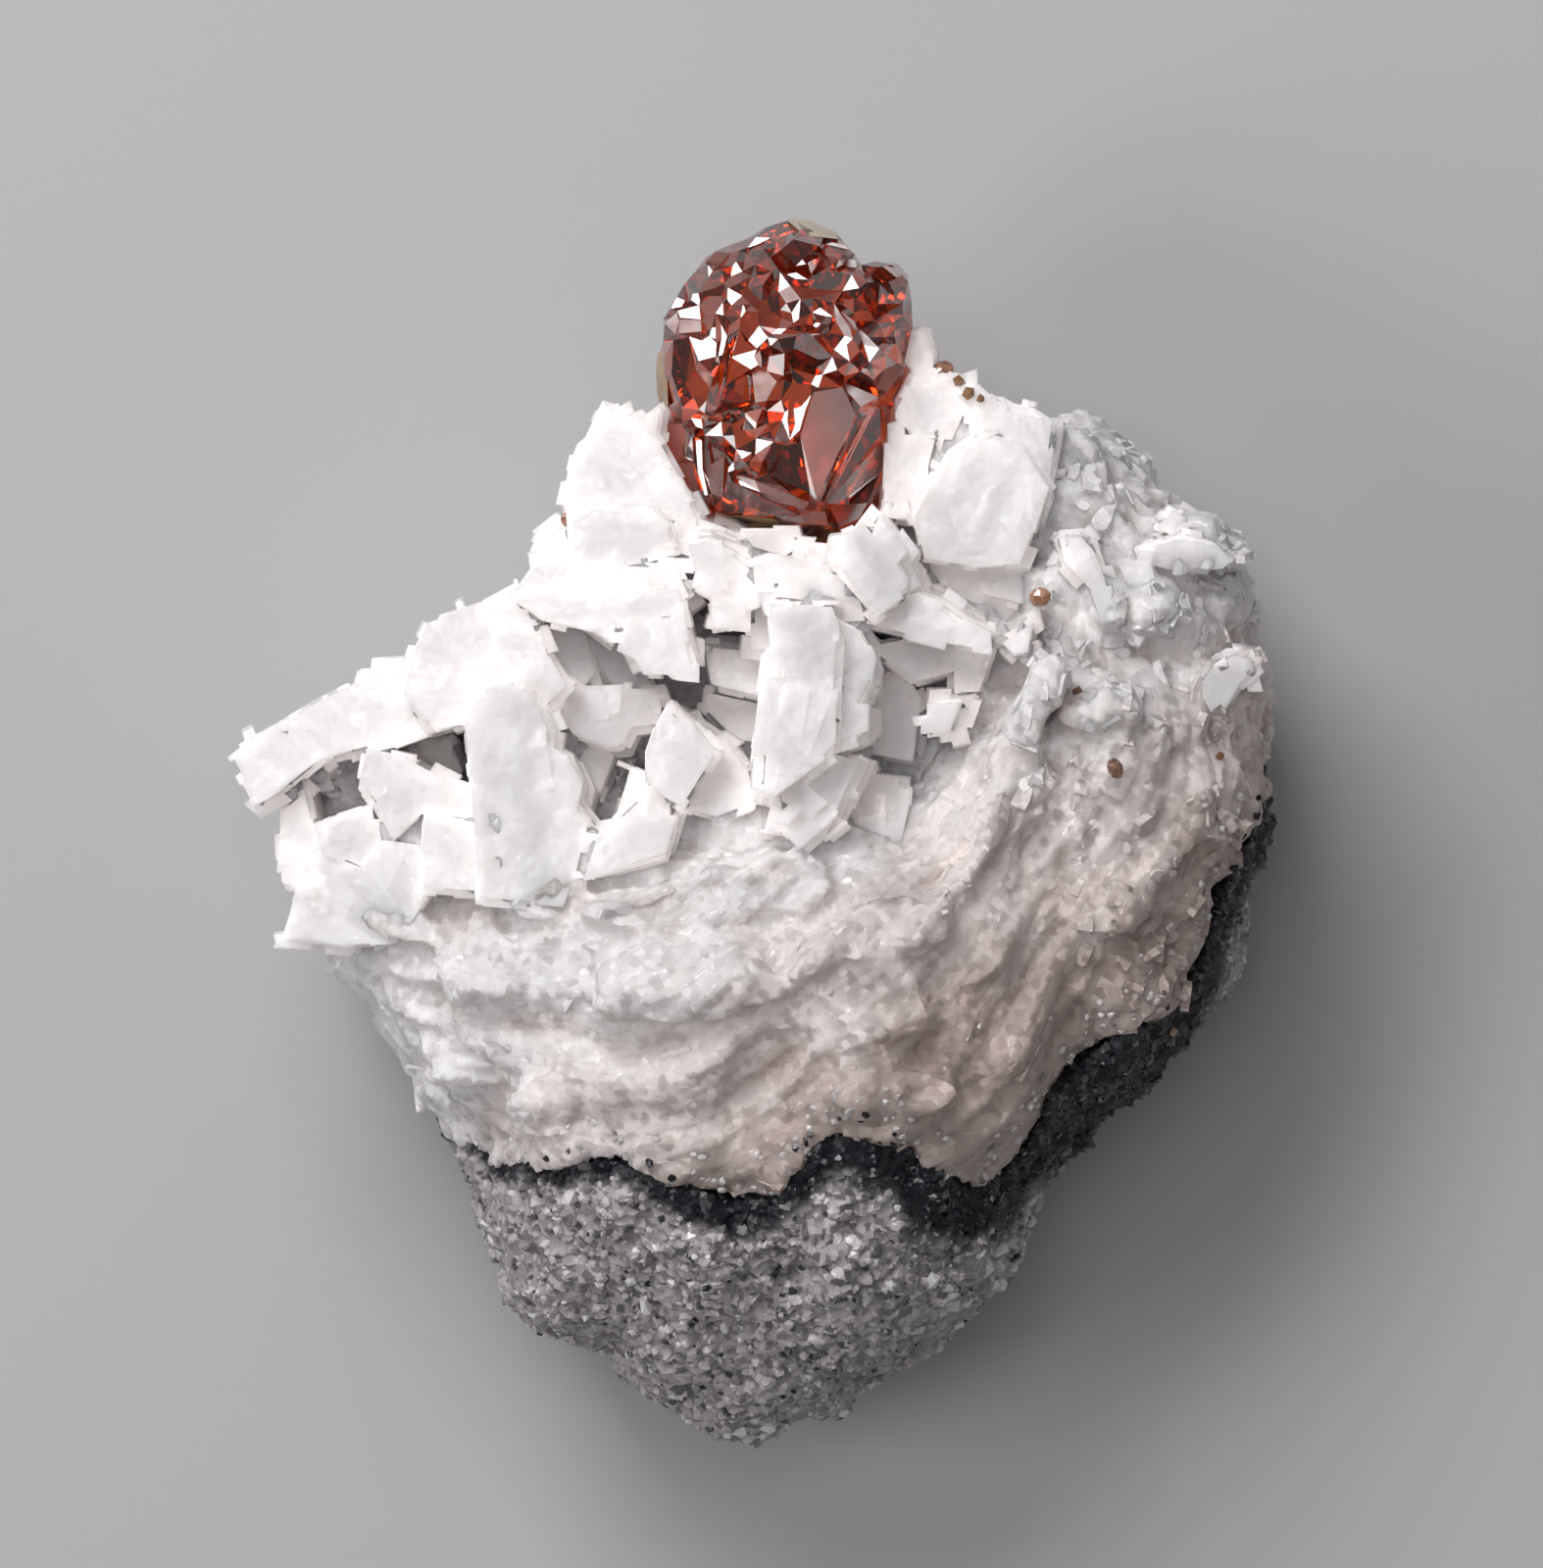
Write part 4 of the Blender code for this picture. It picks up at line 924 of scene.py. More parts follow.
# Crystals round the deep pockets of the middle.
MIDDLE_CRYSTALS = (
    Crystal(((-11.4, 7.5), (-9.9, 8.3), (-5.4, 8.1), (-5.0, 6.9), (-5.1, 5.8),
             (-6.7, 5.6), (-7.1, 4.8), (-7.8, 4.65), (-9.9, 5.4)), 27.3, (-0.2, 0.05), 8.0),
    Crystal(((-10.6, 5.3), (-9.4, 5.5), (-7.8, 4.35), (-8.5, 2.35), (-9.4, 2.1),
             (-10.6, 3.2)), 25.4, (-0.25, 0.1), 7.0),
    Crystal(((-6.75, 3.85), (-5.7, 3.4), (-5.4, 1.8), (-7.0, 0.3), (-7.6, 0.75)),
            29.0, (0.1, -0.4)),
    Crystal(((-4.6, 7.4), (-3.4, 6.3), (-2.3, 4.9), (-2.05, 4.3), (-3.9, 1.4),
             (-5.0, 2.0), (-5.85, 3.2), (-5.85, 4.55), (-5.35, 6.0)), 32.2, (-0.2, -0.2), 12.0),
    Crystal(((-3.3, 6.5), (-1.5, 5.3), (-0.2, 3.5), (0.4, 1.4), (-2.0, 0.5),
             (-4.1, 1.1), (-2.4, 4.4)), 29.6, (-0.1, -0.35)),
    Crystal(((-8.8, 0.6), (-7.6, 0.85), (-4.8, 3.5), (-4.1, 2.1), (-4.2, 1.0),
             (-4.9, -1.4), (-9.9, -2.8)), 32.2, (0.0, -0.15), 12.0),
    Crystal(((-13.6, 13.1), (-9.3, 13.3), (-5.8, 14.0), (-4.2, 13.95), (-3.7, 12.5),
             (-3.35, 10.9), (-2.9, 9.4), (-2.9, 8.2), (-4.3, 8.35), (-4.75, 8.8),
             (-6.15, 8.8), (-7.0, 10.6), (-8.2, 10.6), (-8.85, 11.1), (-11.8, 11.8)),
            31.0, (0.12, -0.1), 5.0, (0.0, 0.35), 1.0),
    Crystal(((-13.3, 13.8), (-12.3, 15.2), (-8.0, 15.4), (-4.0, 15.1), (-3.3, 13.5),
             (-5.0, 12.4), (-12.0, 12.4)), 29.6, (0.1, -0.15), 12.0),
    Crystal(((-9.9, 11.5), (-8.0, 11.2), (-6.4, 10.8), (-5.6, 8.6), (-6.4, 7.7),
             (-8.9, 7.9)), 24.8, (0.0, 0.1), 7.0),
    Crystal(((-2.95, 16.5), (-2.0, 16.4), (-0.85, 16.0), (0.15, 15.2), (0.1, 11.0),
             (-2.05, 11.3), (-2.35, 13.0), (-3.4, 13.6), (-3.0, 15.2)),
            30.6, (0.0, -0.05), 8.0, (0.0, 0.25), 1.0),
    Crystal(((-2.7, 10.9), (1.3, 10.6), (1.0, 7.5), (-2.2, 8.3)), 26.6, (-0.05, -0.1), 8.0),
    Crystal(((-0.1, 13.8), (1.4, 13.6), (1.6, 10.2), (0.05, 10.4)), 29.4, (0.0, 0.0), 9.0),
    Crystal(((-2.7, 8.4), (0.6, 7.7), (0.5, 5.0), (-1.2, 5.3), (-2.9, 7.0)), 24.6,
            (0.0, 0.0), 6.0),
    Crystal(((1.07, 12.97), (1.13, 10.3), (0.9, 10.27), (0.53, 7.7), (0.13, 4.5),
             (0.45, 4.4), (0.27, 2.3), (1.2, 2.0), (4.2, 4.2), (5.0, 5.0), (5.0, 8.0),
             (5.2, 11.2), (4.4, 12.97)), 36.0, (-0.06, 0.02), 16.0),
    Crystal(((4.5, 12.2), (6.3, 11.3), (6.7, 10.6), (7.0, 9.9), (6.8, 8.5), (6.2, 7.4),
             (6.7, 7.3), (6.7, 5.9), (6.1, 5.2), (4.6, 4.7)), 34.4, (-0.28, 0.0), 14.0),
    Crystal(((1.2, 1.5), (3.05, 1.4), (1.9, 0.1), (0.9, 0.2)), 35.2, (0.0, -0.1), 8.0),
    Crystal(((0.9, 2.4), (4.3, 4.7), (6.5, 4.0), (4.8, 0.4), (3.0, -1.2), (1.3, 0.6)),
            34.2, (-0.3, -0.1), 10.0),
    Crystal(((-0.15, 15.4), (0.9, 15.75), (2.2, 15.55), (4.0, 15.15), (6.2, 14.6),
             (6.8, 12.0), (5.2, 11.9), (3.2, 13.0), (0.0, 13.35)), 32.6, (0.05, -0.12), 13.0),
    Crystal(((7.33, 17.9), (9.0, 15.7), (8.5, 15.1), (8.9, 14.3), (8.8, 13.4),
             (6.9, 12.1), (4.5, 14.8), (4.7, 16.0), (5.2, 16.8), (5.9, 17.1), (6.5, 17.9),
             (7.0, 17.2)), 34.2, (-0.2, -0.1), 12.0),
    Crystal(((-0.5, 17.2), (2.3, 17.2), (3.0, 16.4), (1.6, 15.5), (0.3, 15.9)),
            27.2, (0.0, 0.1), 8.0),
    Crystal(((2.6, 16.5), (4.65, 16.3), (4.75, 14.9), (2.2, 15.2)), 28.4, (0.0, 0.1), 8.0),
)

# Spire and steps left of the gem crystal.
TOP_CRYSTALS = (
    Crystal(((-10.35, 17.0), (-10.55, 19.2), (-10.1, 21.2), (-9.6, 22.5), (-9.1, 22.9),
             (-8.4, 24.4), (-8.0, 24.35), (-7.55, 23.7), (-7.1, 24.0), (-6.4, 23.3),
             (-5.2, 24.2), (-4.8, 23.8), (-5.0, 22.0), (-4.0, 20.2), (-3.3, 18.8),
             (-2.8, 17.8), (-3.2, 16.4)), 26.0, (0.1, -0.28), 9.0),
    Crystal(((-10.3, 17.4), (-8.0, 18.6), (-5.1, 18.3), (-4.7, 17.6), (-4.15, 16.2),
             (-4.2, 15.8), (-5.8, 15.3), (-10.2, 14.6)), 29.2, (0.05, -0.12), 11.0),
    Crystal(((-12.5, 16.0), (-12.0, 17.2), (-11.5, 17.6), (-10.2, 17.3), (-9.5, 14.8),
             (-12.3, 14.6)), 26.4, (0.2, -0.2)),
    Crystal(((-4.5, 18.0), (-2.8, 17.7), (-1.4, 17.2), (-0.2, 16.6), (-2.9, 15.0),
             (-4.3, 15.5)), 27.6, (0.0, -0.1)),
)

# Big smooth face, steps and plates right of the gem crystal.
RIGHT_CRYSTALS = (
    Crystal(((8.6, 26.2), (9.15, 28.6), (10.0, 28.7), (10.5, 27.2), (10.4, 25.8),
             (9.5, 25.0)), 22.6, (0.0, -0.15), 5.0),
    Crystal(((8.0, 24.4), (8.9, 26.1), (11.1, 26.1), (12.4, 25.7), (12.55, 23.9),
             (11.7, 22.0), (9.3, 22.2), (8.1, 23.2)), 24.8, (0.0, -0.2), 8.0),
    Crystal(((7.4, 17.8), (7.6, 23.2), (10.9, 22.6), (10.2, 19.8), (9.4, 17.6)),
            25.4, (0.15, -0.1)),
    Crystal(((12.3, 24.9), (13.5, 24.9), (14.5, 24.3), (15.9, 24.0), (17.4, 23.0),
             (16.9, 19.5), (15.3, 21.5), (12.4, 22.3)), 26.0, (0.0, -0.15)),
    Crystal(((12.7, 22.7), (15.3, 21.9), (16.8, 19.5), (16.0, 17.0), (15.3, 15.2),
             (12.4, 15.0), (9.7, 15.4), (9.1, 18.1), (10.0, 19.9), (10.9, 21.5)),
            28.3, (0.05, -0.1), 11.0),
    Crystal(((9.6, 15.8), (12.0, 12.2), (13.7, 11.3), (15.3, 12.9), (15.8, 14.9),
             (15.4, 15.6)), 26.6, (0.05, 0.5), 8.0),
    Crystal(((9.3, 15.4), (10.5, 13.2), (8.6, 13.3)), 30.0, (0.0, 0.1)),
    Crystal(((6.3, 11.4), (6.8, 12.5), (8.5, 13.3), (9.5, 13.5), (10.9, 12.9),
             (12.0, 12.1), (13.5, 11.3), (13.6, 10.0), (10.0, 10.6)),
            32.2, (-0.1, -0.1), 7.0, (0.0, 0.2), 1.0),
    Crystal(((6.5, 10.6), (9.0, 8.5), (11.2, 9.1), (11.3, 7.6), (12.8, 7.8),
             (13.6, 10.4), (9.5, 11.2)), 29.2, (0.0, 0.15), 8.0),
    Crystal(((9.9, 7.4), (12.25, 7.5), (11.5, 5.4), (9.35, 5.1), (9.5, 6.4),
             (9.9, 6.45)), 31.0, (0.05, 0.05), 9.0, (0.25, 0.15), 1.0),
    Crystal(((6.0, 10.0), (8.9, 8.8), (9.8, 7.3), (9.4, 4.0), (6.3, 4.6)), 27.0,
            (-0.1, 0.1), 8.0),
    Crystal(((4.6, 3.6), (9.0, 3.0), (9.0, 1.6), (8.2, -2.4), (4.8, -2.8)), 30.0,
            (-0.05, -0.6), 9.0),
    Crystal(((14.0, 10.9), (15.8, 12.1), (15.6, 10.1), (14.9, 9.9)), 31.4, (0.1, 0.0), 7.0),
    Crystal(((14.3, 6.2), (15.4, 5.2), (17.6, 8.9), (16.9, 9.9), (16.2, 9.7)), 33.0,
            (0.0, 0.0), 7.0),
    Crystal(((17.2, 6.3), (19.6, 8.1), (20.4, 8.4), (21.5, 8.1), (21.7, 6.8),
             (19.2, 5.7)), 32.0, (0.1, 0.1), 6.0),
    Crystal(((20.5, 15.6), (22.3, 15.7), (22.9, 14.2), (24.1, 12.8), (23.6, 11.2),
             (22.1, 12.0), (21.3, 13.5)), 28.3, (-0.1, -0.1), 6.0),
    Crystal(((17.3, 17.0), (18.6, 17.1), (19.6, 16.0), (20.3, 14.0), (20.9, 12.0),
             (19.8, 11.8), (19.2, 13.6), (17.9, 15.0)), 29.5, (-0.1, -0.1), 6.0),
    Crystal(((22.4, 16.2), (24.3, 16.7), (26.3, 16.3), (27.6, 15.4), (26.8, 15.0),
             (24.0, 14.7), (22.5, 15.1)), 26.4, (-0.2, 0.1), 7.0, (0.0, 0.2)),
    Crystal(((23.0, 17.3), (24.1, 18.5), (25.8, 17.4), (25.0, 16.3)), 24.6, (-0.3, 0.0), 7.0),
    Crystal(((25.2, 8.8), (25.7, 9.5), (26.9, 10.3), (28.3, 10.1), (28.6, 9.0),
             (27.3, 7.9), (26.8, 7.0), (26.0, 6.3), (25.3, 7.6)), 27.0, (-0.4, 0.0), 7.0),
)


# Free crystals, grown plate by plate.

def area_of(outline: list[Vector]) -> float:
    """The area inside an outline, above 0 where it runs anticlockwise."""
    return sum(corner.cross(after) for corner, after in zip(outline, outline[1:] + outline[:1])) / 2.0


@dataclass
class Side:
    """One side of an outline, cut into steps that stand more or less far in."""

    start: Vector
    along: Vector
    length: float
    cuts: list[float]
    shifts: list[float]

    @property
    def inward(self) -> Vector:
        """The direction into the outline."""
        return Vector((-self.along.y, self.along.x))


class CrystalGrower:
    """Grows saddle-faced crystals as stacks of plates with stepped sides."""

    step_depths = (0.0, 0.0, 0.12, 0.26, 0.42)
    step_along = 2.1
    step_across = 0.95
    least_turn = 0.35
    least_side = 0.02
    most_skew = 0.6
    patch = 0.8
    overlap = 0.06
    plate_starts = (0.0, 0.5, 1.3, 2.6, 4.4)
    plate_outsets = (0.02, 0.06, 0.18, 0.32, 0.4)
    least_plate = 1.0
    face_per_block = 7.0
    edge_per_block = 1.7

    def __init__(self, seed: int) -> None:
        """Start with a seed of its own, so that every run grows the same crystals."""
        self.random = random.Random(seed)
        self.plates: list[bpy.types.Object] = []

    def stepped(self, outline: list[Vector], grain: Vector, inset: float) -> list[Vector]:
        """An outline whose sides run in short parallel steps.

        Args:
            outline: The plain outline, anticlockwise.
            grain: The direction along which the steps are long.
            inset: How far in all of it stands, in millimetres.

        Returns:
            The stepped outline's corners.
        """
        sides = []
        for start, end in zip(outline, outline[1:] + outline[:1]):
            length = (end - start).length
            if length < self.least_side:
                continue
            along = (end - start) / length
            share = abs(along.dot(grain))
            step = self.step_across + (self.step_along - self.step_across) * share
            count = max(1, round(length / step * self.random.uniform(0.7, 1.3)))
            cuts = sorted(self.random.uniform(0.08, 0.92) for _ in range(count - 1))
            shifts = [inset + self.random.choice(self.step_depths) for _ in range(count)]
            sides.append(Side(start, along, length, cuts, shifts))
        corners = []
        for before, side in zip(sides[-1:] + sides[:-1], sides):
            turn = before.along.cross(side.along)
            last = before.start + before.inward * before.shifts[-1]
            first = side.start + side.inward * side.shifts[0]
            skew = 0.0
            if abs(turn) > self.least_turn:
                corners.append(last + before.along * ((first - last).cross(side.along) / turn))
                skew = before.along.dot(side.along) / turn
                skew = max(-self.most_skew, min(self.most_skew, skew))
            else:
                corners.append(last + before.along * before.length)
                if (corners[-1] - first).length > self.least_side:
                    corners.append(first)
            for cut, near, far in zip(side.cuts, side.shifts, side.shifts[1:]):
                if near != far:
                    place = side.start + side.along * (side.length * cut)
                    corners.append(place + side.inward * near)
                    corners.append(place + side.inward * far + side.along * (skew * (far - near)))
        return corners

    def add_prism(self, outline: list[Vector], height: Callable[[Vector], float], depth: float,
                  lean: Vector) -> None:
        """Grow one plate.

        Args:
            outline: The plate's outline, anticlockwise.
            height: The height of its front at a place.
            depth: How far back it runs, in millimetres.
            lean: How far it drifts sideways for each millimetre of that.
        """
        flat = list(outline)
        loop = tuple((corner.x, corner.y) for corner in outline)
        low_x, high_x = min(corner.x for corner in outline), max(corner.x for corner in outline)
        low_y, high_y = min(corner.y for corner in outline), max(corner.y for corner in outline)
        for row in range(int((high_y - low_y) / self.patch)):
            for column in range(int((high_x - low_x) / self.patch)):
                x = low_x + (column + 0.75 - 0.5 * (row % 2)) * self.patch
                y = low_y + (row + 0.6) * self.patch
                if distance_inside(x, y, loop) > 0.3 * self.patch:
                    flat.append(Vector((x, y)))
        ends = [(index, (index + 1) % len(outline)) for index in range(len(outline))]
        flat, _, triangles, _, _, _ = delaunay_2d_cdt(
            flat, ends, [tuple(range(len(outline)))], 1, 1e-5)
        used = sorted({index for triangle in triangles for index in triangle})
        if len(used) < 3:
            return
        number = {index: place for place, index in enumerate(used)}
        front = [Vector((flat[index].x, flat[index].y, height(flat[index]))) for index in used]
        drift = Vector((lean.x, lean.y, -1.0)) * depth
        count = len(front)
        faces = [tuple(number[index] for index in triangle) for triangle in triangles]
        edges = {(face[corner], face[(corner + 1) % 3]) for face in faces for corner in range(3)}
        rim = [(start, end) for start, end in edges if (end, start) not in edges]
        faces += [tuple(count + index for index in reversed(face)) for face in faces]
        faces += [(end, start, count + start, count + end) for start, end in sorted(rim)]
        mesh = bpy.data.meshes.new("plate")
        mesh.from_pydata([point * MM for point in front] + [(point + drift) * MM for point in front],
                         [], faces)
        self.plates.append(bpy.data.objects.new("plate", mesh))

    def height_of(self, crystal: Crystal) -> Callable[[Vector], float]:
        """The gently bowed and waving face of a crystal.

        Args:
            crystal: The crystal.

        Returns:
            A function that gives the face's height at a place.
        """
        middle, grain = crystal.middle(), crystal.grain()
        bow = self.random.uniform(-0.016, -0.006), self.random.uniform(0.0, 0.006)
        seed = self.random.uniform(0.0, 50.0)

        def height(place: Vector) -> float:
            """Height of the face at a place.

            Args:
                place: The place in millimetres.

            Returns:
                The height in millimetres.
            """
            away = place - middle
            along, across = away.dot(grain), away.cross(grain)
            spot = Vector((0.45 * along, across, seed))
            terrace = 2.2 * noise.noise(spot * 0.5)
            terrace = 0.16 * (math.floor(terrace) + ramp(terrace % 1.0, 0.6, 1.0))
            return (crystal.height + crystal.slope[0] * away.x + crystal.slope[1] * away.y
                    + max(-0.35, bow[0] * across**2) + min(0.2, bow[1] * along**2)
                    + terrace + 0.1 * noise.noise(spot * 0.9) + 0.04 * noise.noise(spot * 2.3))

        return height

    def add_block(self, place: Vector, size: Point, turn: Vector, top: float, depth: float) -> None:
        """Grow a small rhomb.

        Args:
            place: Its middle.
            size: Its length and width, in millimetres.
            turn: The direction of its length.
            top: The height of its front.
            depth: How far back it runs.
        """
        long_side = turn * (size[0] / 2.0)
        short_side = Vector((-turn.y, turn.x)) + turn * self.random.uniform(-0.35, 0.35)
        short_side *= size[1] / 2.0
        outline = [place - long_side - short_side, place + long_side - short_side,
                   place + long_side + short_side, place - long_side + short_side]
        tilt = Vector((self.random.gauss(0.0, 0.06), self.random.gauss(0.0, 0.06)))
        self.add_prism(self.stepped(outline, turn, 0.0),
                       lambda spot: top + tilt.dot(spot - place), depth,
                       Vector((self.random.uniform(-0.1, 0.1), self.random.uniform(-0.1, 0.1))))

    def grow(self, crystal: Crystal) -> None:
        """Grow a whole crystal, with the smaller ones on its face and along its sides.

        Args:
            crystal: The crystal.
        """
        outline = [Vector(corner) for corner in crystal.face]
        if area_of(outline) < 0.0:
            outline.reverse()
        loop = tuple((corner.x, corner.y) for corner in outline)
        middle, grain = crystal.middle(), crystal.grain()
        lean = Vector(crystal.lean)
        height = self.height_of(crystal)
        flare = 0.0 if crystal.spread == 1.0 else 1.0
        starts = [start for start in self.plate_starts if start < crystal.depth - self.least_plate]
        for number, start in enumerate(starts):
            end = starts[number + 1] if number + 1 < len(starts) else crystal.depth
            shape = [corner + lean * start for corner in outline]
            shape = self.stepped(shape, grain, -self.plate_outsets[number] * flare)
            self.add_prism(shape, lambda place: height(place - lean * start) - start,
                           end - start + self.overlap, lean)

        area = abs(area_of(outline))
        for _ in range(int(area / self.face_per_block)):
            corner = self.random.choice(outline)
            place = middle + (corner - middle) * self.random.uniform(0.1, 0.85)
            inside = distance_inside(place.x, place.y, loop)
            width = self.random.uniform(0.6, 2.0)
            if inside > 0.35 * width:
                size = (min(width * self.random.uniform(1.2, 2.6), 2.4 * inside + 0.8), width)
                turn = grain.copy()
                turn.rotate(Matrix.Rotation(self.random.gauss(0.0, 0.12), 2))
                self.add_block(place, size, turn, height(place) + self.random.uniform(0.0, 0.08), 1.0)
        for start, end in zip(outline, outline[1:] + outline[:1]):
            along = (end - start).normalized()
            for _ in range(int((end - start).length / self.edge_per_block + self.random.random())):
                place = start.lerp(end, self.random.random()) + Vector((-along.y, along.x)) * 0.1
                drop = self.random.uniform(0.3, 2.6)
                size = (self.random.uniform(0.8, 2.2), self.random.uniform(0.5, 1.2 + 0.2 * drop))
                self.add_block(place + lean * drop, size, along, height(place) - drop, 2.0)

    def unite(self, name: str) -> bpy.types.Object:
        """Join all the plates in one closed solid.

        Args:
            name: The name of the solid.

        Returns:
            The solid.
        """
        scene = bpy.context.scene.collection
        group = bpy.data.collections.new("plates")
        scene.children.link(group)
        for plate in self.plates[1:]:
            group.objects.link(plate)
        whole = self.plates[0]
        whole.name = name
        scene.objects.link(whole)
        apply_modifier(whole, "BOOLEAN", operation="UNION", solver="MANIFOLD",
                       operand_type="COLLECTION", collection=group)
        for plate in self.plates[1:]:
            bpy.data.objects.remove(plate)
        bpy.data.collections.remove(group)
        self.plates = []
        return whole


class CrystalCrust:
    """The free dolomite crystals: blades, posts and steps round the deep pockets."""

    seed = 7
    worn = 0.09
    smooth_angle = 38.0

    def build(self, finish: bpy.types.Material) -> bpy.types.Object:
        """Model the crystals and dress them.

        Args:
            finish: Their material.

        Returns:
            The crystals, in one piece.
        """
        grower = CrystalGrower(self.seed)
        for crystal in (*LEFT_CRYSTALS, *MIDDLE_CRYSTALS, *TOP_CRYSTALS, *RIGHT_CRYSTALS):
            grower.grow(crystal)
        log.info("crystals: %d plates", len(grower.plates))
        piece = grower.unite("dolomite_blades")
        apply_modifier(piece, "BEVEL", width=self.worn * MM, segments=1, limit_method="ANGLE",
                       angle_limit=math.radians(self.smooth_angle))
        shade_by_angle(piece, self.smooth_angle)
        piece.data.materials.clear()
        piece.data.materials.append(finish)
        return piece


# The deep pockets between the free crystals: middle, radius and the height of their mosaic floor.
POCKETS = (
    (-18.0, 4.4, 2.4, 25.2), (-23.2, 2.3, 2.2, 22.8), (-7.6, 3.0, 1.8, 23.4), (-3.0, 11.6, 1.5, 24.8),
)


class Vein:
    """The massive dolomite that the free crystals stand on."""

    voxel = 0.4
    under_faces = -0.42
    under_sides = -0.6
    swirl_rate = 0.09
    swirl_reach = 2.2
    arc_scale = 24.0
    plates = Breakage(2.8, 0.42, 0.28)
    blocks = Breakage(2.4, 0.45, 0.22)
    lamellae = Breakage(1.3, 0.34, 0.35)
    mosaic = Breakage(0.9, 0.4, 0.2)
    smooth_angle = 32.0

    @staticmethod
    def share_of_crystals(place: Vector) -> float:
        """How far a place belongs to the free crystals, from 0 to 1."""
        return (ramp(distance_inside(place.x, place.y, CRYSTAL_ZONE), -0.6, 0.4)
                * ramp(place.z, 12.0, 15.0))

    def lamella(self, place: Vector) -> Vector:
        """A place by its reach across the lamellae, its way along them and its height.

        Args:
            place: The place in millimetres.

        Returns:
            The three, in millimetres.
        """
        swirl = noise.noise_vector(place * self.swirl_rate) * self.swirl_reach
        spoke = place + swirl - FAN_CENTRE
        around = math.atan2(spoke.y, spoke.x) * self.arc_scale
        return Vector((math.hypot(spoke.x, spoke.y), around, place.z))

    def swell(self, place: Vector) -> float:
        """The broad plates and hollows of the broken surface, in millimetres.

        Args:
            place: The place in millimetres.

        Returns:
            The height in millimetres.
        """
        fan = self.lamella(place)
        right = ramp(place.x + 0.4 * place.y, 12.0, 18.0)
        broad = self.plates.height(Vector((fan.x, fan.y * 0.3, fan.z * 0.5)))
        block = self.blocks.height(place)
        return broad * (1.0 - right) + block * right + 0.9 * noise.noise(place * 0.24)

    def relief(self, place: Vector, normal: Vector) -> float:
        """How far the broken surface stands from the plain solid, in millimetres.

        Args:
            place: The place in millimetres.
            normal: The plain solid's normal there.

        Returns:
            The distance.
        """
        free = self.share_of_crystals(place)
        upward = ramp(normal.z, 0.5, 0.9)
        under = self.under_sides + (self.under_faces - self.under_sides) * upward
        for x, y, radius, floor in POCKETS:
            near = 1.0 - ramp(math.hypot(place.x - x, place.y - y), radius, 1.5 * radius)
            under += max(0.0, floor - place.z) * near * upward
        fan = self.lamella(place)
        rough = self.swell(place) + self.lamellae.height(Vector((fan.x, fan.y * 0.25, fan.z)))
        return rough * (1.0 - free) + (under + self.mosaic.height(place)) * free

    def build(self, finish: bpy.types.Material) -> bpy.types.Object:
        """Model the vein and dress it.

        Args:
            finish: Its material.

        Returns:
            The vein.
        """
        piece = copy_of_solid("dolomite_crystals", "dolomite_vein")
        apply_modifier(piece, "REMESH", mode="VOXEL", voxel_size=self.voxel * MM)
        crystals = piece.vertex_groups.new(name="under crystals")
        for vertex in piece.data.vertices:
            crystals.add([vertex.index], self.share_of_crystals(vertex.co / MM), "REPLACE")
        apply_modifier(piece, "SMOOTH", factor=0.5, iterations=8, vertex_group=crystals.name)
        places = [vertex.co / MM for vertex in piece.data.vertices]
        # Painted shade: how far each place lies down in a hollow of the relief, read by the finish to
        # darken the colour there.
        painted_hollow_shade = piece.data.attributes.new("painted_hollow_shade", "FLOAT", "POINT")
        painted_hollow_shade.data.foreach_set("value", [ramp(-self.swell(place), 0.0, 0.9) for place in places])
        lamella = piece.data.attributes.new("lamella", "FLOAT_VECTOR", "POINT")
        spots = [number for place in places for number in self.lamella(place) * MM]
        lamella.data.foreach_set("vector", spots)
        sculpt(piece, self.relief)
        shade_by_angle(piece, self.smooth_angle)
        piece.data.materials.append(finish)
        return piece


class CleavageFlakes:
    """The broken cleavage plates that lie shingled on the massive vein."""

    count = 3600
    seed = 21
    spots_seed = 20
    thickness = 0.5

    def build(self, vein: bpy.types.Object, finish: bpy.types.Material) -> bpy.types.Object:
        """Scatter the plates over the vein and dress them.

        Args:
            vein: The vein that they lie on.
            finish: Their material.

        Returns:
            The plates.
        """
        bits = Bits(self.seed)
        draw = bits.random
        for place, normal in spots_on(vein, self.count, self.spots_seed):
            spoke = place - FAN_CENTRE
            along = Vector((-spoke.y, spoke.x, 0.0))
            right = ramp(place.x + 0.4 * place.y, 11.0, 20.0)
            if Vein.share_of_crystals(place) > 0.5 or draw.random() > 0.12 + 0.6 * right:
                continue
            swing = noise.noise(place * 0.16) * 0.9 + draw.gauss(0.0, 0.1 + 0.8 * right)
            along.rotate(Matrix.Rotation(swing, 3, "Z"))
            along = (along - normal * along.dot(normal)).normalized()
            facing = normal.copy()
            lean = draw.gauss(0.12, 0.06 + 0.1 * right)
            facing.rotate(Matrix.Rotation(lean, 3, along))
            length = draw.uniform(0.8, 2.6) * (1.0 - 0.3 * right)
            width = length * draw.uniform(0.15, 0.3) * (1.0 + 1.6 * right)
            size = Vector((length, width, self.thickness))
            rise = draw.uniform(-0.05, 0.04 + 0.16 * right) - 0.5 * size.z
            bits.add_flake(place + normal * rise, along, facing, size, draw.random())
        return bits.build("cleavage_plates", finish)


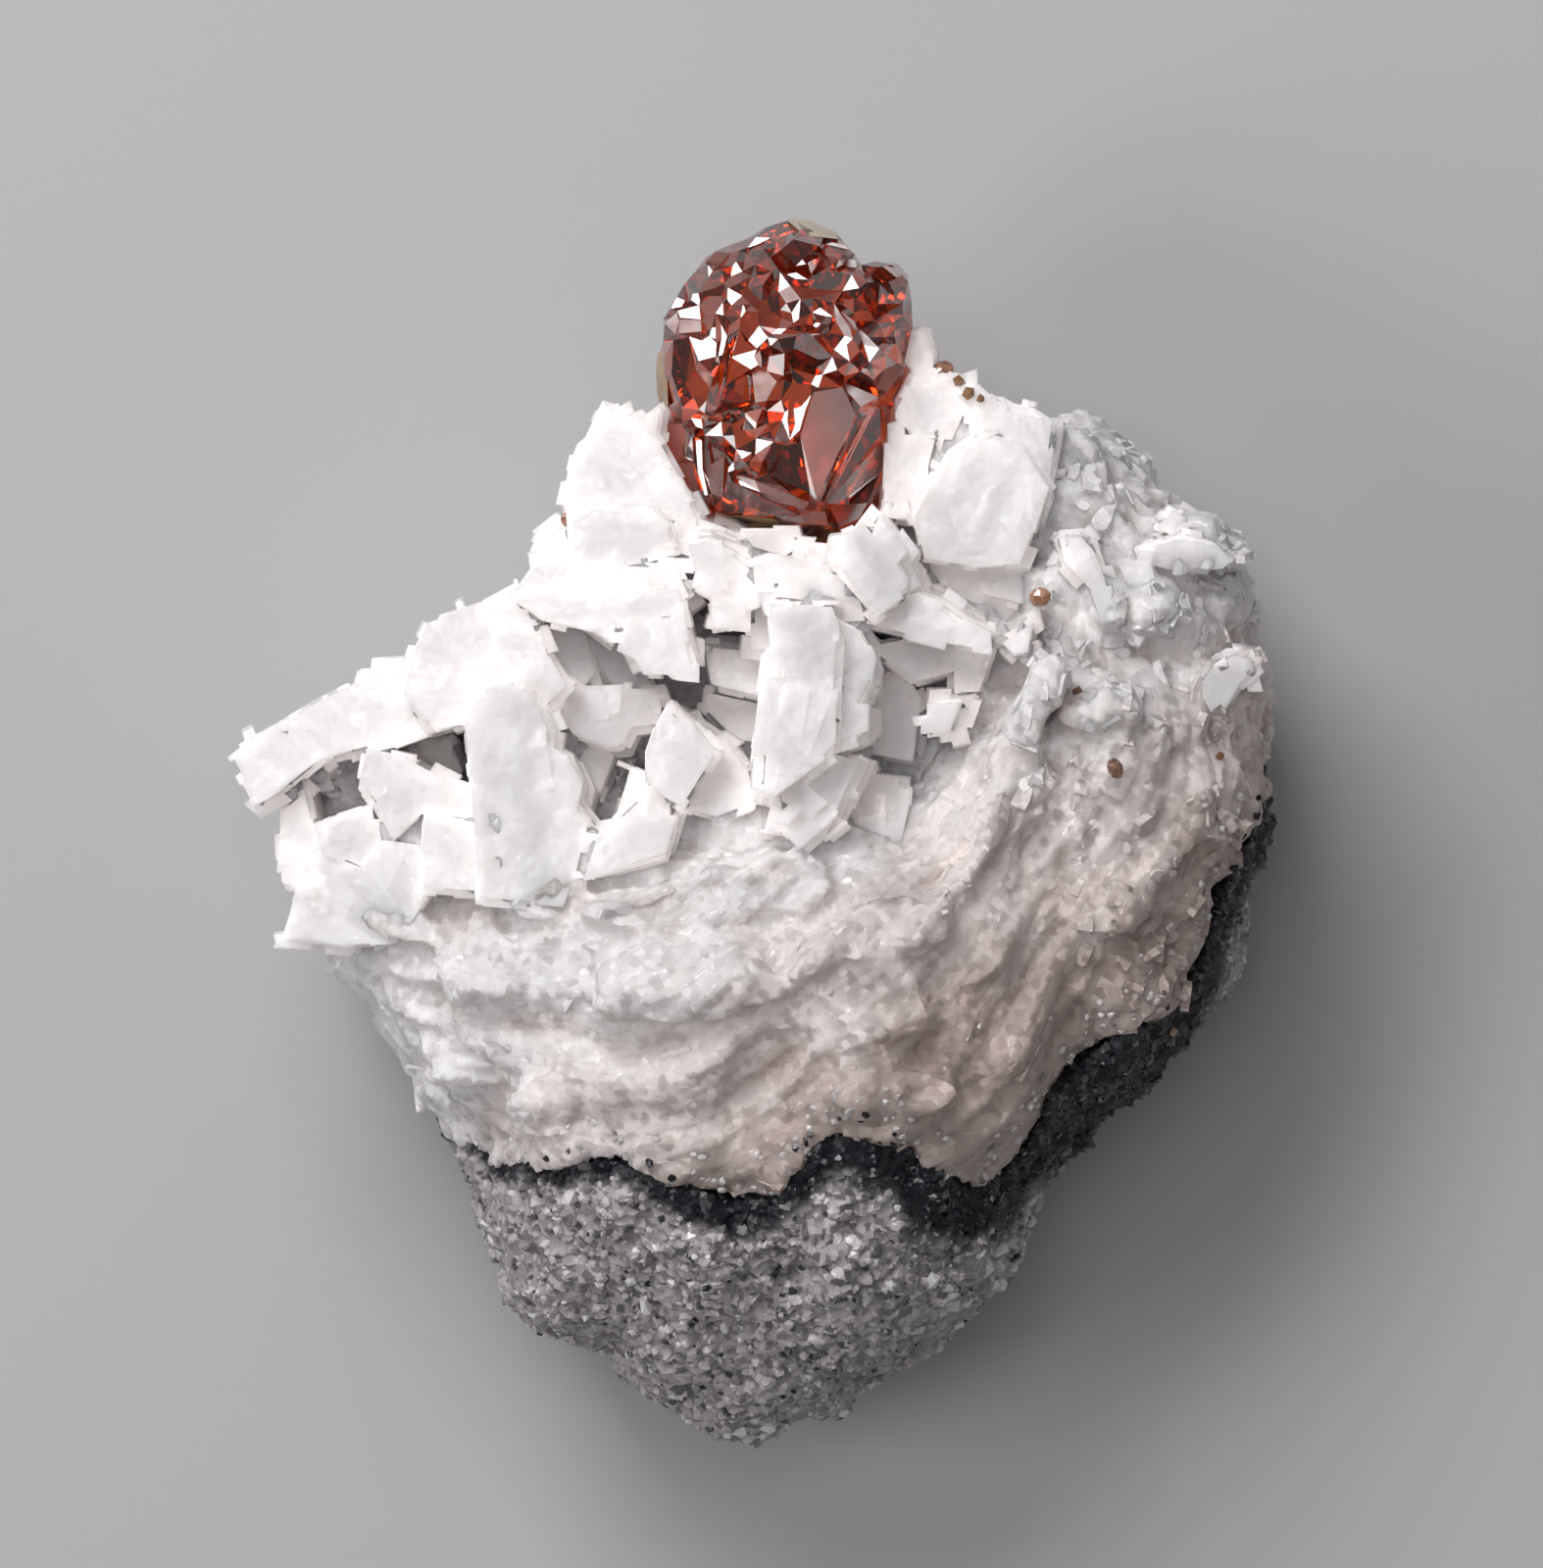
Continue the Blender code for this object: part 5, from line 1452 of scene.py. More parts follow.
class HostRock:
    """The grey rock that the vein grew on."""

    voxel = 0.34
    lumps = Breakage(2.6, 0.25)
    chips = Breakage(0.7, 0.3)
    grain_size = 0.75
    smooth_angle = 32.0

    def relief(self, place: Vector, normal: Vector) -> float:
        """How far the granular surface stands from the plain solid, in millimetres."""
        return (self.lumps.height(place) + 0.3 * rounded_grain(place, self.grain_size)
                + self.chips.height(place))

    def build(self, finish: bpy.types.Material) -> bpy.types.Object:
        """Model the rock and dress it.

        Args:
            finish: Its material.

        Returns:
            The rock.
        """
        piece = copy_of_solid("dolostone_matrix", "host_rock")
        apply_modifier(piece, "REMESH", mode="VOXEL", voxel_size=self.voxel * MM)
        sculpt(piece, self.relief)
        dark = piece.data.attributes.new("dark", "FLOAT", "POINT")
        dark.data.foreach_set("value", [darkness(vertex.co / MM) for vertex in piece.data.vertices])
        shade_by_angle(piece, self.smooth_angle)
        piece.data.materials.append(finish)
        return piece


# The edge of the grey host on the front, from left to right.
SEAM_LINE: Outline = (
    (-33.0, -18.5), (-16.4, -18.8), (-14.7, -19.7), (-12.2, -18.8), (-9.2, -18.3), (-7.5, -17.7),
    (-5.9, -18.8), (-3.7, -20.2), (-1.2, -21.3), (1.3, -20.2), (2.4, -18.3), (4.7, -16.1),
    (8.0, -16.3), (9.4, -18.6), (12.1, -20.8), (14.8, -19.6), (16.3, -15.5), (18.5, -13.8),
    (20.7, -11.6), (23.5, -10.0), (24.9, -8.3), (26.0, -5.5), (27.1, -2.8), (28.2, 0.0), (33.0, 5.0),
)
# How thick the black band along the seam is, at places from left to right.
BAND_WIDTHS = ((-17.0, 0.7), (-12.0, 1.3), (-6.0, 1.2), (0.0, 1.5), (3.0, 3.0), (6.0, 3.6),
               (9.0, 5.0), (12.0, 3.4), (14.5, 4.6), (17.0, 8.0), (21.0, 9.0), (25.0, 8.0), (28.0, 6.0))


def interpolated(value: float, table: Outline) -> float:
    """The second number of a table at a value of the first, in straight stretches.

    Args:
        value: Where the table is read.
        table: Pairs of numbers, in the order of the first.

    Returns:
        The second number there.
    """
    for (low, before), (high, after) in zip(table, table[1:]):
        if value <= high:
            return before + (after - before) * max(0.0, (value - low) / (high - low))
    return table[-1][1]


class HostGrains:
    """The loose-looking grains of the host's broken surface, dark along the seam."""

    count = 6200
    seam_count = 15000
    seed = 31
    spots_seeds = (30, 32)
    radii = (0.16, 0.22, 0.28, 0.36)
    seam_reach = 2.6
    wider_at_right = 2.4

    def build(self, host: bpy.types.Object, vein: bpy.types.Object,
              finish: bpy.types.Material) -> bpy.types.Object:
        """Scatter the grains over the host and the edge of the vein, and dress them.

        Args:
            host: The rock that they are part of.
            vein: The vein that meets it.
            finish: Their material.

        Returns:
            The grains.
        """
        bits = Bits(self.seed)
        draw = bits.random
        for place, normal in spots_on(host, self.count, self.spots_seeds[0]):
            if place.z < 1.0:
                continue
            dark = darkness(place)
            cloudy = 0.45 * ramp(noise.noise(place * 0.24), -0.05, 0.3)
            shade = draw.random() ** 1.3 * (1.0 - max(cloudy, 0.93 * dark)) + 0.05 * draw.random()
            radius = draw.choice(self.radii) * draw.uniform(0.85, 1.3)
            if dark < 0.3 and draw.random() < 0.03:
                radius, shade = draw.uniform(0.45, 0.7), draw.uniform(0.85, 1.0)
            bits.add_grain(place - normal * (0.25 * radius), radius, shade, draw.uniform(0.5, 1.0))
        for place, normal in spots_on(vein, self.seam_count, self.spots_seeds[1]):
            above = place.y - interpolated(place.x, SEAM_LINE)
            reach = self.seam_reach + self.wider_at_right * ramp(place.x, 6.0, 20.0)
            if above < reach * draw.random() ** 2 + 0.4:
                radius = draw.uniform(self.radii[0], self.radii[-1])
                paler = 0.3 * above * self.seam_reach / reach
                shade = min(1.0, 0.2 + paler + draw.gauss(0.0, 0.25))
                bits.add_grain(place - normal * (0.3 * radius), radius, max(0.0, shade), 0.8)
        return bits.build("host_grains", finish)


def darkness(place: Vector) -> float:
    """How far a place of the host lies in the black band, from 0 to 1.

    Args:
        place: The place in millimetres.

    Returns:
        The share.
    """
    below = interpolated(place.x, SEAM_LINE) - place.y + 0.62 * (27.0 - place.z) * 0.25
    width = interpolated(place.x, BAND_WIDTHS)
    wobble = 0.9 * noise.noise(place * 0.5) + 0.5 * noise.noise(place * 1.4)
    return 1.0 - ramp(below + wobble, 0.6 * width, 1.25 * width)


# The gem crystal.

class Lean(Enum):
    """How a facet leans: its rise along X and Y for each millimetre."""

    KEY = (0.18, -0.34)
    KEY_LOW = (0.27, -0.27)
    KEY_HIGH = (0.1, -0.42)
    TOP = (-0.05, -0.02)
    LEFT = (0.75, 0.12)
    RIGHT = (-0.62, 0.1)
    DOWN = (0.1, 0.7)
    STEEP_RIGHT = (-1.2, 0.25)


@dataclass(frozen=True)
class Facet:
    """A flat facet: its corners, its lean, and whether it is etched dull."""

    corners: Outline
    lean: Lean
    etched: bool = False


GEM_OUTLINE: Outline = (
    (2.4, 34.9), (1.8, 34.75), (0.8, 34.4), (-0.4, 33.7), (-1.4, 33.35), (-2.6, 32.7), (-3.2, 31.9),
    (-3.8, 31.2), (-4.4, 30.3), (-5.0, 29.2), (-5.0, 27.9), (-5.3, 26.9), (-5.25, 24.9),
    (-5.0, 23.8), (-5.4, 23.2), (-5.5, 22.5), (-4.9, 20.9), (-3.9, 19.3), (-2.9, 18.3),
    (-1.6, 17.65), (-0.7, 17.35), (1.2, 17.3), (3.3, 16.65), (4.9, 16.85), (5.8, 17.15),
    (6.5, 17.8), (7.25, 18.6), (7.6, 20.0), (7.85, 21.5), (8.0, 23.2), (8.15, 24.5), (8.6, 25.5),
    (9.0, 26.7), (9.2, 28.5), (9.1, 30.4), (8.95, 31.7), (8.3, 32.4), (7.1, 32.5), (6.3, 32.3),
    (5.9, 32.9), (5.2, 33.7), (4.8, 34.1),
)
# Heights of the front, from which facets and broken ground start.
GEM_HEIGHTS = (
    (3.6, 24.9, 28.9), (7.2, 24.6, 26.6), (5.2, 25.5, 28.0), (3.7, 18.8, 28.4),
    (2.8, 22.4, 28.7), (5.9, 23.6, 27.6), (6.2, 18.2, 25.8), (1.0, 20.1, 27.6),
    (-1.0, 20.6, 27.0), (-2.6, 19.0, 25.0), (-2.9, 22.6, 26.4), (-3.9, 22.9, 25.6),
    (-1.3, 25.4, 28.4), (0.3, 28.5, 28.4), (1.6, 25.4, 28.0), (-3.1, 26.4, 26.6),
    (-3.0, 29.2, 25.8), (-1.2, 31.4, 26.0), (1.8, 30.8, 27.6), (2.2, 33.4, 25.6),
    (5.2, 31.0, 26.6), (4.6, 28.0, 28.0), (7.4, 28.2, 25.8), (7.8, 31.0, 25.6), (2.0, 18.0, 25.6),
)
GEM_FACETS = (
    # The big dull face of the lower right, its neighbours and the striated fan beside it.
    Facet(((3.55, 24.9), (2.8, 22.4), (3.7, 18.85), (4.9, 21.4), (5.9, 23.7), (5.15, 25.2)),
          Lean.TOP, True),
    Facet(((5.25, 25.5), (5.5, 24.9), (6.2, 24.1), (7.2, 24.65)), Lean.KEY_HIGH, True),
    Facet(((3.95, 18.75), (6.35, 23.5), (6.1, 23.8), (5.1, 21.4)), Lean.RIGHT),
    Facet(((4.1, 18.7), (6.95, 24.1), (6.6, 23.7)), Lean.STEEP_RIGHT),
    Facet(((4.3, 18.65), (7.35, 22.6), (7.3, 24.0), (7.1, 24.1)), Lean.RIGHT),
    Facet(((4.9, 18.6), (7.3, 20.4), (7.4, 22.2)), Lean.STEEP_RIGHT),
    Facet(((4.5, 18.35), (5.0, 17.35), (6.1, 17.8), (6.6, 18.7), (5.6, 18.6)), Lean.KEY_LOW, True),
    Facet(((7.5, 24.3), (7.6, 20.9), (7.45, 19.2), (7.7, 21.5), (7.9, 24.0)), Lean.RIGHT, True),
    # The long ridge and the band under it.
    Facet(((-0.9, 20.35), (0.2, 19.95), (3.3, 18.7), (3.0, 18.3), (0.5, 19.3), (-0.8, 20.1)),
          Lean.KEY_LOW, True),
    Facet(((-0.6, 19.7), (0.5, 19.0), (2.9, 18.0), (1.3, 18.0), (-0.3, 18.5)), Lean.DOWN),
    Facet(((3.5, 18.2), (4.2, 18.2), (4.4, 17.4), (3.0, 17.5), (1.8, 17.75)), Lean.DOWN, True),
    # The white strip and the small bright facets round the red window.
    Facet(((3.4, 24.75), (2.85, 24.1), (2.5, 23.1), (2.2, 22.2), (2.75, 22.75), (3.1, 24.0)), Lean.KEY),
    Facet(((0.3, 22.3), (0.25, 21.4), (1.25, 22.1)), Lean.KEY),
    Facet(((-0.85, 21.7), (-0.5, 21.15), (0.05, 21.5)), Lean.KEY_HIGH),
    Facet(((3.4, 25.35), (3.8, 25.15), (4.05, 25.9), (3.65, 25.85)), Lean.KEY),
    Facet(((1.75, 23.3), (2.05, 23.35), (2.1, 23.9), (1.9, 23.75)), Lean.KEY_LOW),
    Facet(((-1.3, 20.4), (-0.95, 20.55), (-1.0, 20.95), (-1.25, 20.7)), Lean.KEY),
    Facet(((1.9, 21.9), (0.9, 20.3), (2.6, 18.95), (3.35, 19.2), (2.6, 22.0)), Lean.LEFT),
    # The groove and the dull face of the lower left.
    Facet(((-5.2, 23.1), (-5.2, 22.3), (-4.6, 20.9), (-3.5, 19.3), (-3.0, 19.5), (-3.3, 21.0),
           (-3.85, 21.4), (-3.9, 23.2)), Lean.LEFT, True),
    Facet(((-3.15, 22.4), (-3.0, 20.4), (-2.6, 19.1), (-2.45, 19.15), (-2.75, 20.6), (-2.8, 22.3)),
          Lean.KEY_LOW),
    Facet(((-3.8, 22.9), (-3.75, 21.2), (-3.25, 21.1), (-3.35, 22.5)), Lean.RIGHT),
    Facet(((-2.6, 22.5), (-2.6, 20.8), (-2.2, 19.2), (-1.6, 19.0), (-1.5, 21.5)), Lean.RIGHT),
    Facet(((-3.4, 23.5), (-3.1, 23.0), (-2.75, 22.9), (-2.8, 23.4)), Lean.KEY),
    # The great white facets of the middle and the brown window at the left.
    Facet(((-1.4, 25.35), (0.0, 26.2), (0.3, 27.3), (-0.3, 27.75), (-0.65, 28.5), (-1.2, 26.8)),
          Lean.KEY),
    Facet(((-0.15, 27.85), (0.35, 27.4), (0.95, 28.0), (0.45, 28.65), (0.2, 28.3)), Lean.KEY_LOW),
    Facet(((0.05, 26.0), (0.25, 24.3), (0.85, 24.4), (1.45, 25.5), (0.9, 26.1), (0.35, 26.3)),
          Lean.KEY_HIGH, True),
    Facet(((0.4, 26.45), (0.6, 26.3), (0.6, 26.8), (0.5, 27.3), (0.2, 26.9)), Lean.KEY_HIGH, True),
    Facet(((-1.5, 25.2), (-0.2, 25.9), (-0.05, 24.4), (-1.2, 23.9), (-1.7, 24.4)), Lean.RIGHT),
    Facet(((-4.4, 27.9), (-4.5, 26.0), (-4.05, 24.7), (-3.2, 24.7), (-3.1, 26.2), (-3.5, 28.1)),
          Lean.LEFT),
    Facet(((-2.95, 26.7), (-2.0, 26.95), (-1.95, 27.7), (-2.8, 27.85)), Lean.KEY),
    Facet(((-1.85, 26.95), (-1.6, 27.05), (-1.35, 28.1), (-1.65, 28.0)), Lean.KEY_LOW),
    Facet(((-2.35, 28.1), (-2.0, 27.95), (-2.0, 28.6), (-2.2, 28.6)), Lean.KEY),
    Facet(((-1.25, 27.6), (-1.9, 24.0), (-1.5, 24.2), (-1.15, 26.9)), Lean.STEEP_RIGHT),
    # The pale steps of the upper left.
    Facet(((-4.9, 28.9), (-4.3, 28.3), (-4.1, 29.0), (-4.2, 29.55)), Lean.KEY_LOW, True),
    Facet(((-4.1, 28.3), (-2.8, 28.4), (-2.85, 29.05), (-4.0, 29.1)), Lean.KEY_HIGH, True),
    Facet(((-4.0, 29.2), (-2.85, 29.1), (-2.95, 29.9), (-4.15, 29.6)), Lean.KEY),
    Facet(((-4.55, 29.75), (-3.95, 29.85), (-3.75, 30.2), (-4.2, 30.4)), Lean.KEY),
    Facet(((-3.4, 30.2), (-2.9, 30.2), (-3.0, 30.6), (-3.3, 30.55)), Lean.KEY_LOW),
    Facet(((-1.35, 30.2), (-1.1, 29.85), (-0.5, 30.4), (-1.3, 30.85)), Lean.KEY),
    Facet(((-2.0, 29.4), (-1.55, 29.3), (-1.6, 30.0)), Lean.KEY_HIGH),
    Facet(((-0.6, 29.1), (-0.3, 29.5), (-0.45, 29.9)), Lean.KEY),
    Facet(((-2.4, 31.5), (-2.2, 31.9), (-2.45, 32.2)), Lean.KEY),
    Facet(((-1.05, 32.1), (-0.5, 31.8), (-0.85, 32.35)), Lean.KEY_LOW),
    Facet(((-0.2, 33.2), (0.3, 33.35), (1.1, 33.75), (0.3, 33.8)), Lean.KEY),
    Facet(((-2.0, 33.0), (-2.6, 32.4), (-1.8, 32.2), (-1.2, 32.9)), Lean.LEFT, True),
    # The smoky window and its bright edges, and the steps of the upper right.
    Facet(((1.7, 33.0), (2.0, 31.9), (3.4, 31.6), (4.6, 32.2), (3.9, 33.2), (2.4, 33.6)), Lean.DOWN),
    Facet(((2.55, 32.1), (3.1, 32.2), (2.9, 32.45)), Lean.KEY),
    Facet(((2.05, 31.6), (2.5, 31.35), (2.55, 31.7)), Lean.KEY),
    Facet(((1.55, 30.6), (2.0, 29.95), (2.8, 30.2), (2.2, 30.95)), Lean.KEY_HIGH, True),
    Facet(((3.2, 31.3), (3.3, 30.8), (5.2, 30.7), (5.7, 31.6), (4.2, 31.9)), Lean.RIGHT),
    Facet(((4.05, 32.75), (4.8, 32.0), (5.2, 32.2), (5.0, 32.5)), Lean.KEY, True),
    Facet(((5.3, 32.15), (6.0, 32.05), (5.9, 32.5), (5.4, 32.55)), Lean.KEY_LOW, True),
    Facet(((4.2, 33.4), (5.5, 33.1), (5.3, 33.35), (4.6, 33.5)), Lean.KEY, True),
    Facet(((4.7, 29.95), (4.75, 29.0), (5.3, 28.1), (5.75, 27.95), (5.6, 28.5), (5.1, 29.3)),
          Lean.KEY_LOW, True),
    Facet(((5.1, 29.5), (5.75, 28.7), (6.0, 28.4), (5.85, 28.95)), Lean.KEY_HIGH, True),
    Facet(((6.0, 28.65), (6.4, 27.6), (7.25, 27.4), (6.6, 28.1)), Lean.KEY, True),
    Facet(((3.9, 29.7), (4.3, 29.2), (4.6, 29.2), (4.2, 29.5)), Lean.KEY),
    Facet(((2.3, 29.4), (2.4, 28.85), (2.7, 29.05)), Lean.KEY),
    Facet(((1.2, 28.2), (1.7, 28.2), (2.0, 28.5), (1.5, 28.5)), Lean.KEY_LOW),
    Facet(((3.5, 28.7), (3.7, 28.55), (3.95, 28.8), (3.7, 28.85)), Lean.KEY),
    Facet(((1.5, 27.9), (1.9, 27.1), (3.7, 26.3), (4.6, 26.9), (3.3, 28.2)), Lean.DOWN),
    Facet(((6.2, 26.1), (6.5, 25.95), (6.6, 26.25), (6.35, 26.3)), Lean.KEY, True),
    Facet(((7.1, 25.2), (7.7, 25.0), (8.7, 26.4), (8.3, 26.6), (7.6, 26.3)), Lean.RIGHT, True),
    # The knob at the upper right corner.
    Facet(((6.6, 31.2), (7.2, 30.0), (8.6, 30.0), (8.9, 31.2), (7.8, 31.2)), Lean.DOWN),
    Facet(((6.8, 31.6), (7.8, 31.35), (8.6, 31.6), (8.0, 32.2), (7.1, 32.1)), Lean.LEFT),
)


def blended(x: float, y: float, heights: tuple[tuple[float, float, float], ...],
            reach: float) -> float:
    """The height at (x, y) as a smooth mean of measured heights near it.

    Args:
        x: Where it is along X, in millimetres.
        y: Where it is along Y, in millimetres.
        heights: Measured places and their heights.
        reach: How far each of them counts, in millimetres.

    Returns:
        The height in millimetres.
    """
    total = weights = 0.0
    for px, py, height in heights:
        weight = math.exp(-((x - px) ** 2 + (y - py) ** 2) / (2.0 * reach**2)) + 1e-9
        total += weight * height
        weights += weight
    return total / weights


@dataclass
class GemCrystal:
    """The big clear red sphalerite crystal at the top end."""

    rim_height: float = 21.4
    shoulder: float = 3.2
    centre: tuple[float, float] = (1.9, 25.6)
    back_ring: tuple[float, float] = (14.7, 0.7)
    back_tip: tuple[float, float, float] = (2.0, 26.5, 11.8)
    broken_spacing: float = 0.7
    broken_height: float = 0.3
    clear_of_facets: float = 0.3
    reach_of_heights: float = 1.4
    seed: int = 5

    def height(self, x: float, y: float) -> float:
        """The height of the front at a place, rounded down towards the rim.

        Args:
            x: Where it is along X, in millimetres.
            y: Where it is along Y, in millimetres.

        Returns:
            The height in millimetres.
        """
        front = blended(x, y, GEM_HEIGHTS, self.reach_of_heights)
        inward = min(1.0, max(0.0, distance_inside(x, y, GEM_OUTLINE)) / self.shoulder)
        return self.rim_height + (front - self.rim_height) * math.sqrt(1.0 - (1.0 - inward) ** 2)

    def front_points(self) -> tuple[list[Vector], list[tuple[int, int]]]:
        """Places and heights of the front's corners.

        Returns:
            The points, those of the outline first, and the edges that facets need.
        """
        draw = random.Random(self.seed)
        points = [Vector((x, y, self.rim_height + draw.uniform(-0.3, 0.3))) for x, y in GEM_OUTLINE]
        count = len(points)
        edges = [(index, (index + 1) % count) for index in range(count)]
        for facet in GEM_FACETS:
            middle_x = sum(x for x, _ in facet.corners) / len(facet.corners)
            middle_y = sum(y for _, y in facet.corners) / len(facet.corners)
            level = self.height(middle_x, middle_y)
            first = len(points)
            rise_x, rise_y = facet.lean.value
            for x, y in facet.corners:
                rise = rise_x * (x - middle_x) + rise_y * (y - middle_y)
                points.append(Vector((x, y, level + rise)))
            corners = len(facet.corners)
            edges += [(first + index, first + (index + 1) % corners) for index in range(corners)]
        low_x, high_x = min(x for x, _ in GEM_OUTLINE), max(x for x, _ in GEM_OUTLINE)
        low_y, high_y = min(y for _, y in GEM_OUTLINE), max(y for _, y in GEM_OUTLINE)
        for row in range(int((high_y - low_y) / self.broken_spacing)):
            for column in range(int((high_x - low_x) / self.broken_spacing)):
                x = low_x + (column + draw.uniform(0.1, 0.9)) * self.broken_spacing
                y = low_y + (row + draw.uniform(0.1, 0.9)) * self.broken_spacing
                clear = max(distance_inside(x, y, facet.corners) for facet in GEM_FACETS)
                if clear < -self.clear_of_facets and distance_inside(x, y, GEM_OUTLINE) > 0.3:
                    uneven = self.broken_height * ramp(y, 20.0, 26.0) + 0.12
                    points.append(Vector((x, y, self.height(x, y) + draw.uniform(-uneven, uneven))))
        return points, edges

    def build(self, finish: bpy.types.Material) -> bpy.types.Object:
        """Model the crystal and dress it.

        Args:
            finish: Its material.

        Returns:
            The crystal.
        """
        given, edges = self.front_points()
        count = len(GEM_OUTLINE)
        flat, _, triangles, sources, _, _ = delaunay_2d_cdt(
            [point.xy for point in given], edges, [tuple(range(count))], 1, 1e-5)
        points = []
        for corner, source in zip(flat, sources):
            if source:
                height = sum(given[index].z for index in source) / len(source)
            else:
                height = self.height(corner.x, corner.y)
            points.append(Vector((corner.x, corner.y, height)))
        ring_of = {source: index for index, sourced in enumerate(sources)
                   for source in sourced if source < count}
        faces = [tuple(triangle) for triangle in triangles]
        etched = []
        for face in faces:
            middle = sum((points[index] for index in face), Vector()) / 3.0
            dull = any(facet.etched and distance_inside(middle.x, middle.y, facet.corners) > 0.0
                       for facet in GEM_FACETS)
            etched.append(float(dull))
        ring = [ring_of[index] for index in range(count)]
        depth, reach = self.back_ring
        centre = Vector(self.centre)
        back = []
        for index in range(0, count, 2):
            spot = centre + (Vector(GEM_OUTLINE[index]) - centre) * reach
            back.append(len(points))
            points.append(Vector((spot.x, spot.y, depth)))
        tip = len(points)
        points.append(Vector(self.back_tip))
        for index, near in enumerate(back):
            after = back[(index + 1) % len(back)]
            first, middle, last = (ring[(2 * index + step) % count] for step in range(3))
            faces += [(first, near, middle), (middle, after, last), (middle, near, after),
                      (near, tip, after)]
        etched += [0.0] * (len(faces) - len(etched))
        mesh = bpy.data.meshes.new("red_sphalerite")
        mesh.from_pydata([point * MM for point in points], [], faces)
        mesh.attributes.new("etched", "FLOAT", "FACE").data.foreach_set("value", etched)
        gem = bpy.data.objects.new("red_sphalerite", mesh)
        bpy.context.scene.collection.objects.link(gem)
        activate(gem)
        bpy.ops.object.mode_set(mode="EDIT")
        bpy.ops.mesh.select_all(action="SELECT")
        bpy.ops.mesh.normals_make_consistent(inside=False)
        bpy.ops.object.mode_set(mode="OBJECT")
        mesh.materials.append(finish)
        return gem


# The opaque crusts at the gem's edge: outline and shade.
GEM_CRUSTS = (
    (((2.1, 34.75), (2.6, 34.3), (3.1, 33.85), (4.0, 33.8), (4.95, 33.7), (4.75, 34.2), (3.9, 34.55),
      (3.0, 34.9), (2.4, 34.95)), 0.95),
    (((-3.1, 18.4), (-1.8, 18.0), (-0.6, 18.0), (0.5, 17.9), (2.2, 17.7), (3.8, 17.4), (4.9, 17.1),
      (4.6, 16.7), (3.5, 16.5), (2.2, 16.9), (1.0, 17.2), (-1.0, 17.2), (-2.2, 17.7)), 0.66),
    (((-5.3, 27.3), (-4.9, 27.2), (-4.75, 25.6), (-4.7, 24.3), (-5.1, 24.1), (-5.35, 25.0),
      (-5.4, 26.4)), 0.42),
)


class GemCrust:
    """The thin opaque crusts along the gem's edge, cream at the top and ochre below."""

    thickness = 0.14
    drop = 0.9
    seed = 41

    def build(self, gem: GemCrystal, finish: bpy.types.Material) -> bpy.types.Object:
        """Lay the crusts on the edge and dress them.

        Args:
            gem: The crystal that they lie on.
            finish: Their material.

        Returns:
            The crusts.
        """
        bits = Bits(self.seed)
        for outline, shade in GEM_CRUSTS:
            count = len(outline)
            middle = sum((Vector(corner) for corner in outline), Vector((0.0, 0.0))) / count
            tops = [Vector((x, y, gem.height(x, y) + self.thickness)) for x, y in outline]
            centre = Vector((middle.x, middle.y, gem.height(middle.x, middle.y) + self.thickness))
            low = [Vector((top.x, top.y, top.z - self.drop)) for top in tops]
            for index, top in enumerate(tops):
                after = (index + 1) % count
                wedge = [centre, top, tops[after], centre - Vector((0.0, 0.0, self.drop)), low[index],
                         low[after]]
                bits.add(wedge, WEDGE_FACES, shade + bits.random.gauss(0.0, 0.05))
        return bits.build("gem_crust", finish)


# The small crystals that keep the shape of their solids.
SMALL_CRYSTALS = ("small_sphalerite_right", "small_sphalerite_left", "small_sphalerite_behind",
                  "brown_sphalerite_grain")
# Small brown grains on the dolomite: X, Y and radius in millimetres, and shade.
SPECKS = (
    (18.4, 8.0, 0.34, 0.2), (26.5, 4.3, 0.28, 0.2), (12.3, 24.9, 0.4, 0.35), (13.0, 24.6, 0.3, 0.25),
    (11.8, 25.6, 0.34, 0.3), (24.0, -11.3, 0.35, 0.7),
)


WELL_ABOVE = 100.0


def front_height(objects: tuple[bpy.types.Object, ...], x: float, y: float) -> float:
    """The height of the front of some objects at a place, in millimetres.

    Args:
        objects: The objects.
        x: Where it is along X, in millimetres.
        y: Where it is along Y, in millimetres.

    Returns:
        The height of the highest of them there.
    """
    start = Vector((x, y, WELL_ABOVE)) * MM
    hits = [obj.ray_cast(start, Vector((0.0, 0.0, -1.0))) for obj in objects]
    return max(place.z for found, place, _, _ in hits if found) / MM


class BrownSpecks:
    """The tiny brown grains that sit on the dolomite and the host."""

    seed = 51
    rise = 0.3

    def build(self, ground: tuple[bpy.types.Object, ...],
              finish: bpy.types.Material) -> bpy.types.Object:
        """Set the grains on the ground and dress them.

        Args:
            ground: The pieces that they may sit on.
            finish: Their material.

        Returns:
            The grains.
        """
        bits = Bits(self.seed)
        for x, y, radius, shade in SPECKS:
            level = front_height(ground, x, y)
            bits.add_grain(Vector((x, y, level + self.rise * radius)), radius, shade)
        return bits.build("brown_specks", finish)


@dataclass(frozen=True)
class Softbox:
    """A square softbox: its name, place and side in millimetres, and power in watts."""

    name: str
    place: tuple[float, float, float]
    size: float
    power: float


SOFTBOXES = (
    Softbox("key softbox", (-170.0, 330.0, 430.0), 260.0, 1.78),
    Softbox("left softbox", (-430.0, -80.0, 430.0), 260.0, 0.85),
    Softbox("top softbox", (-60.0, 60.0, 700.0), 220.0, 0.5),
    Softbox("fill softbox", (420.0, -120.0, 330.0), 380.0, 0.15),
)


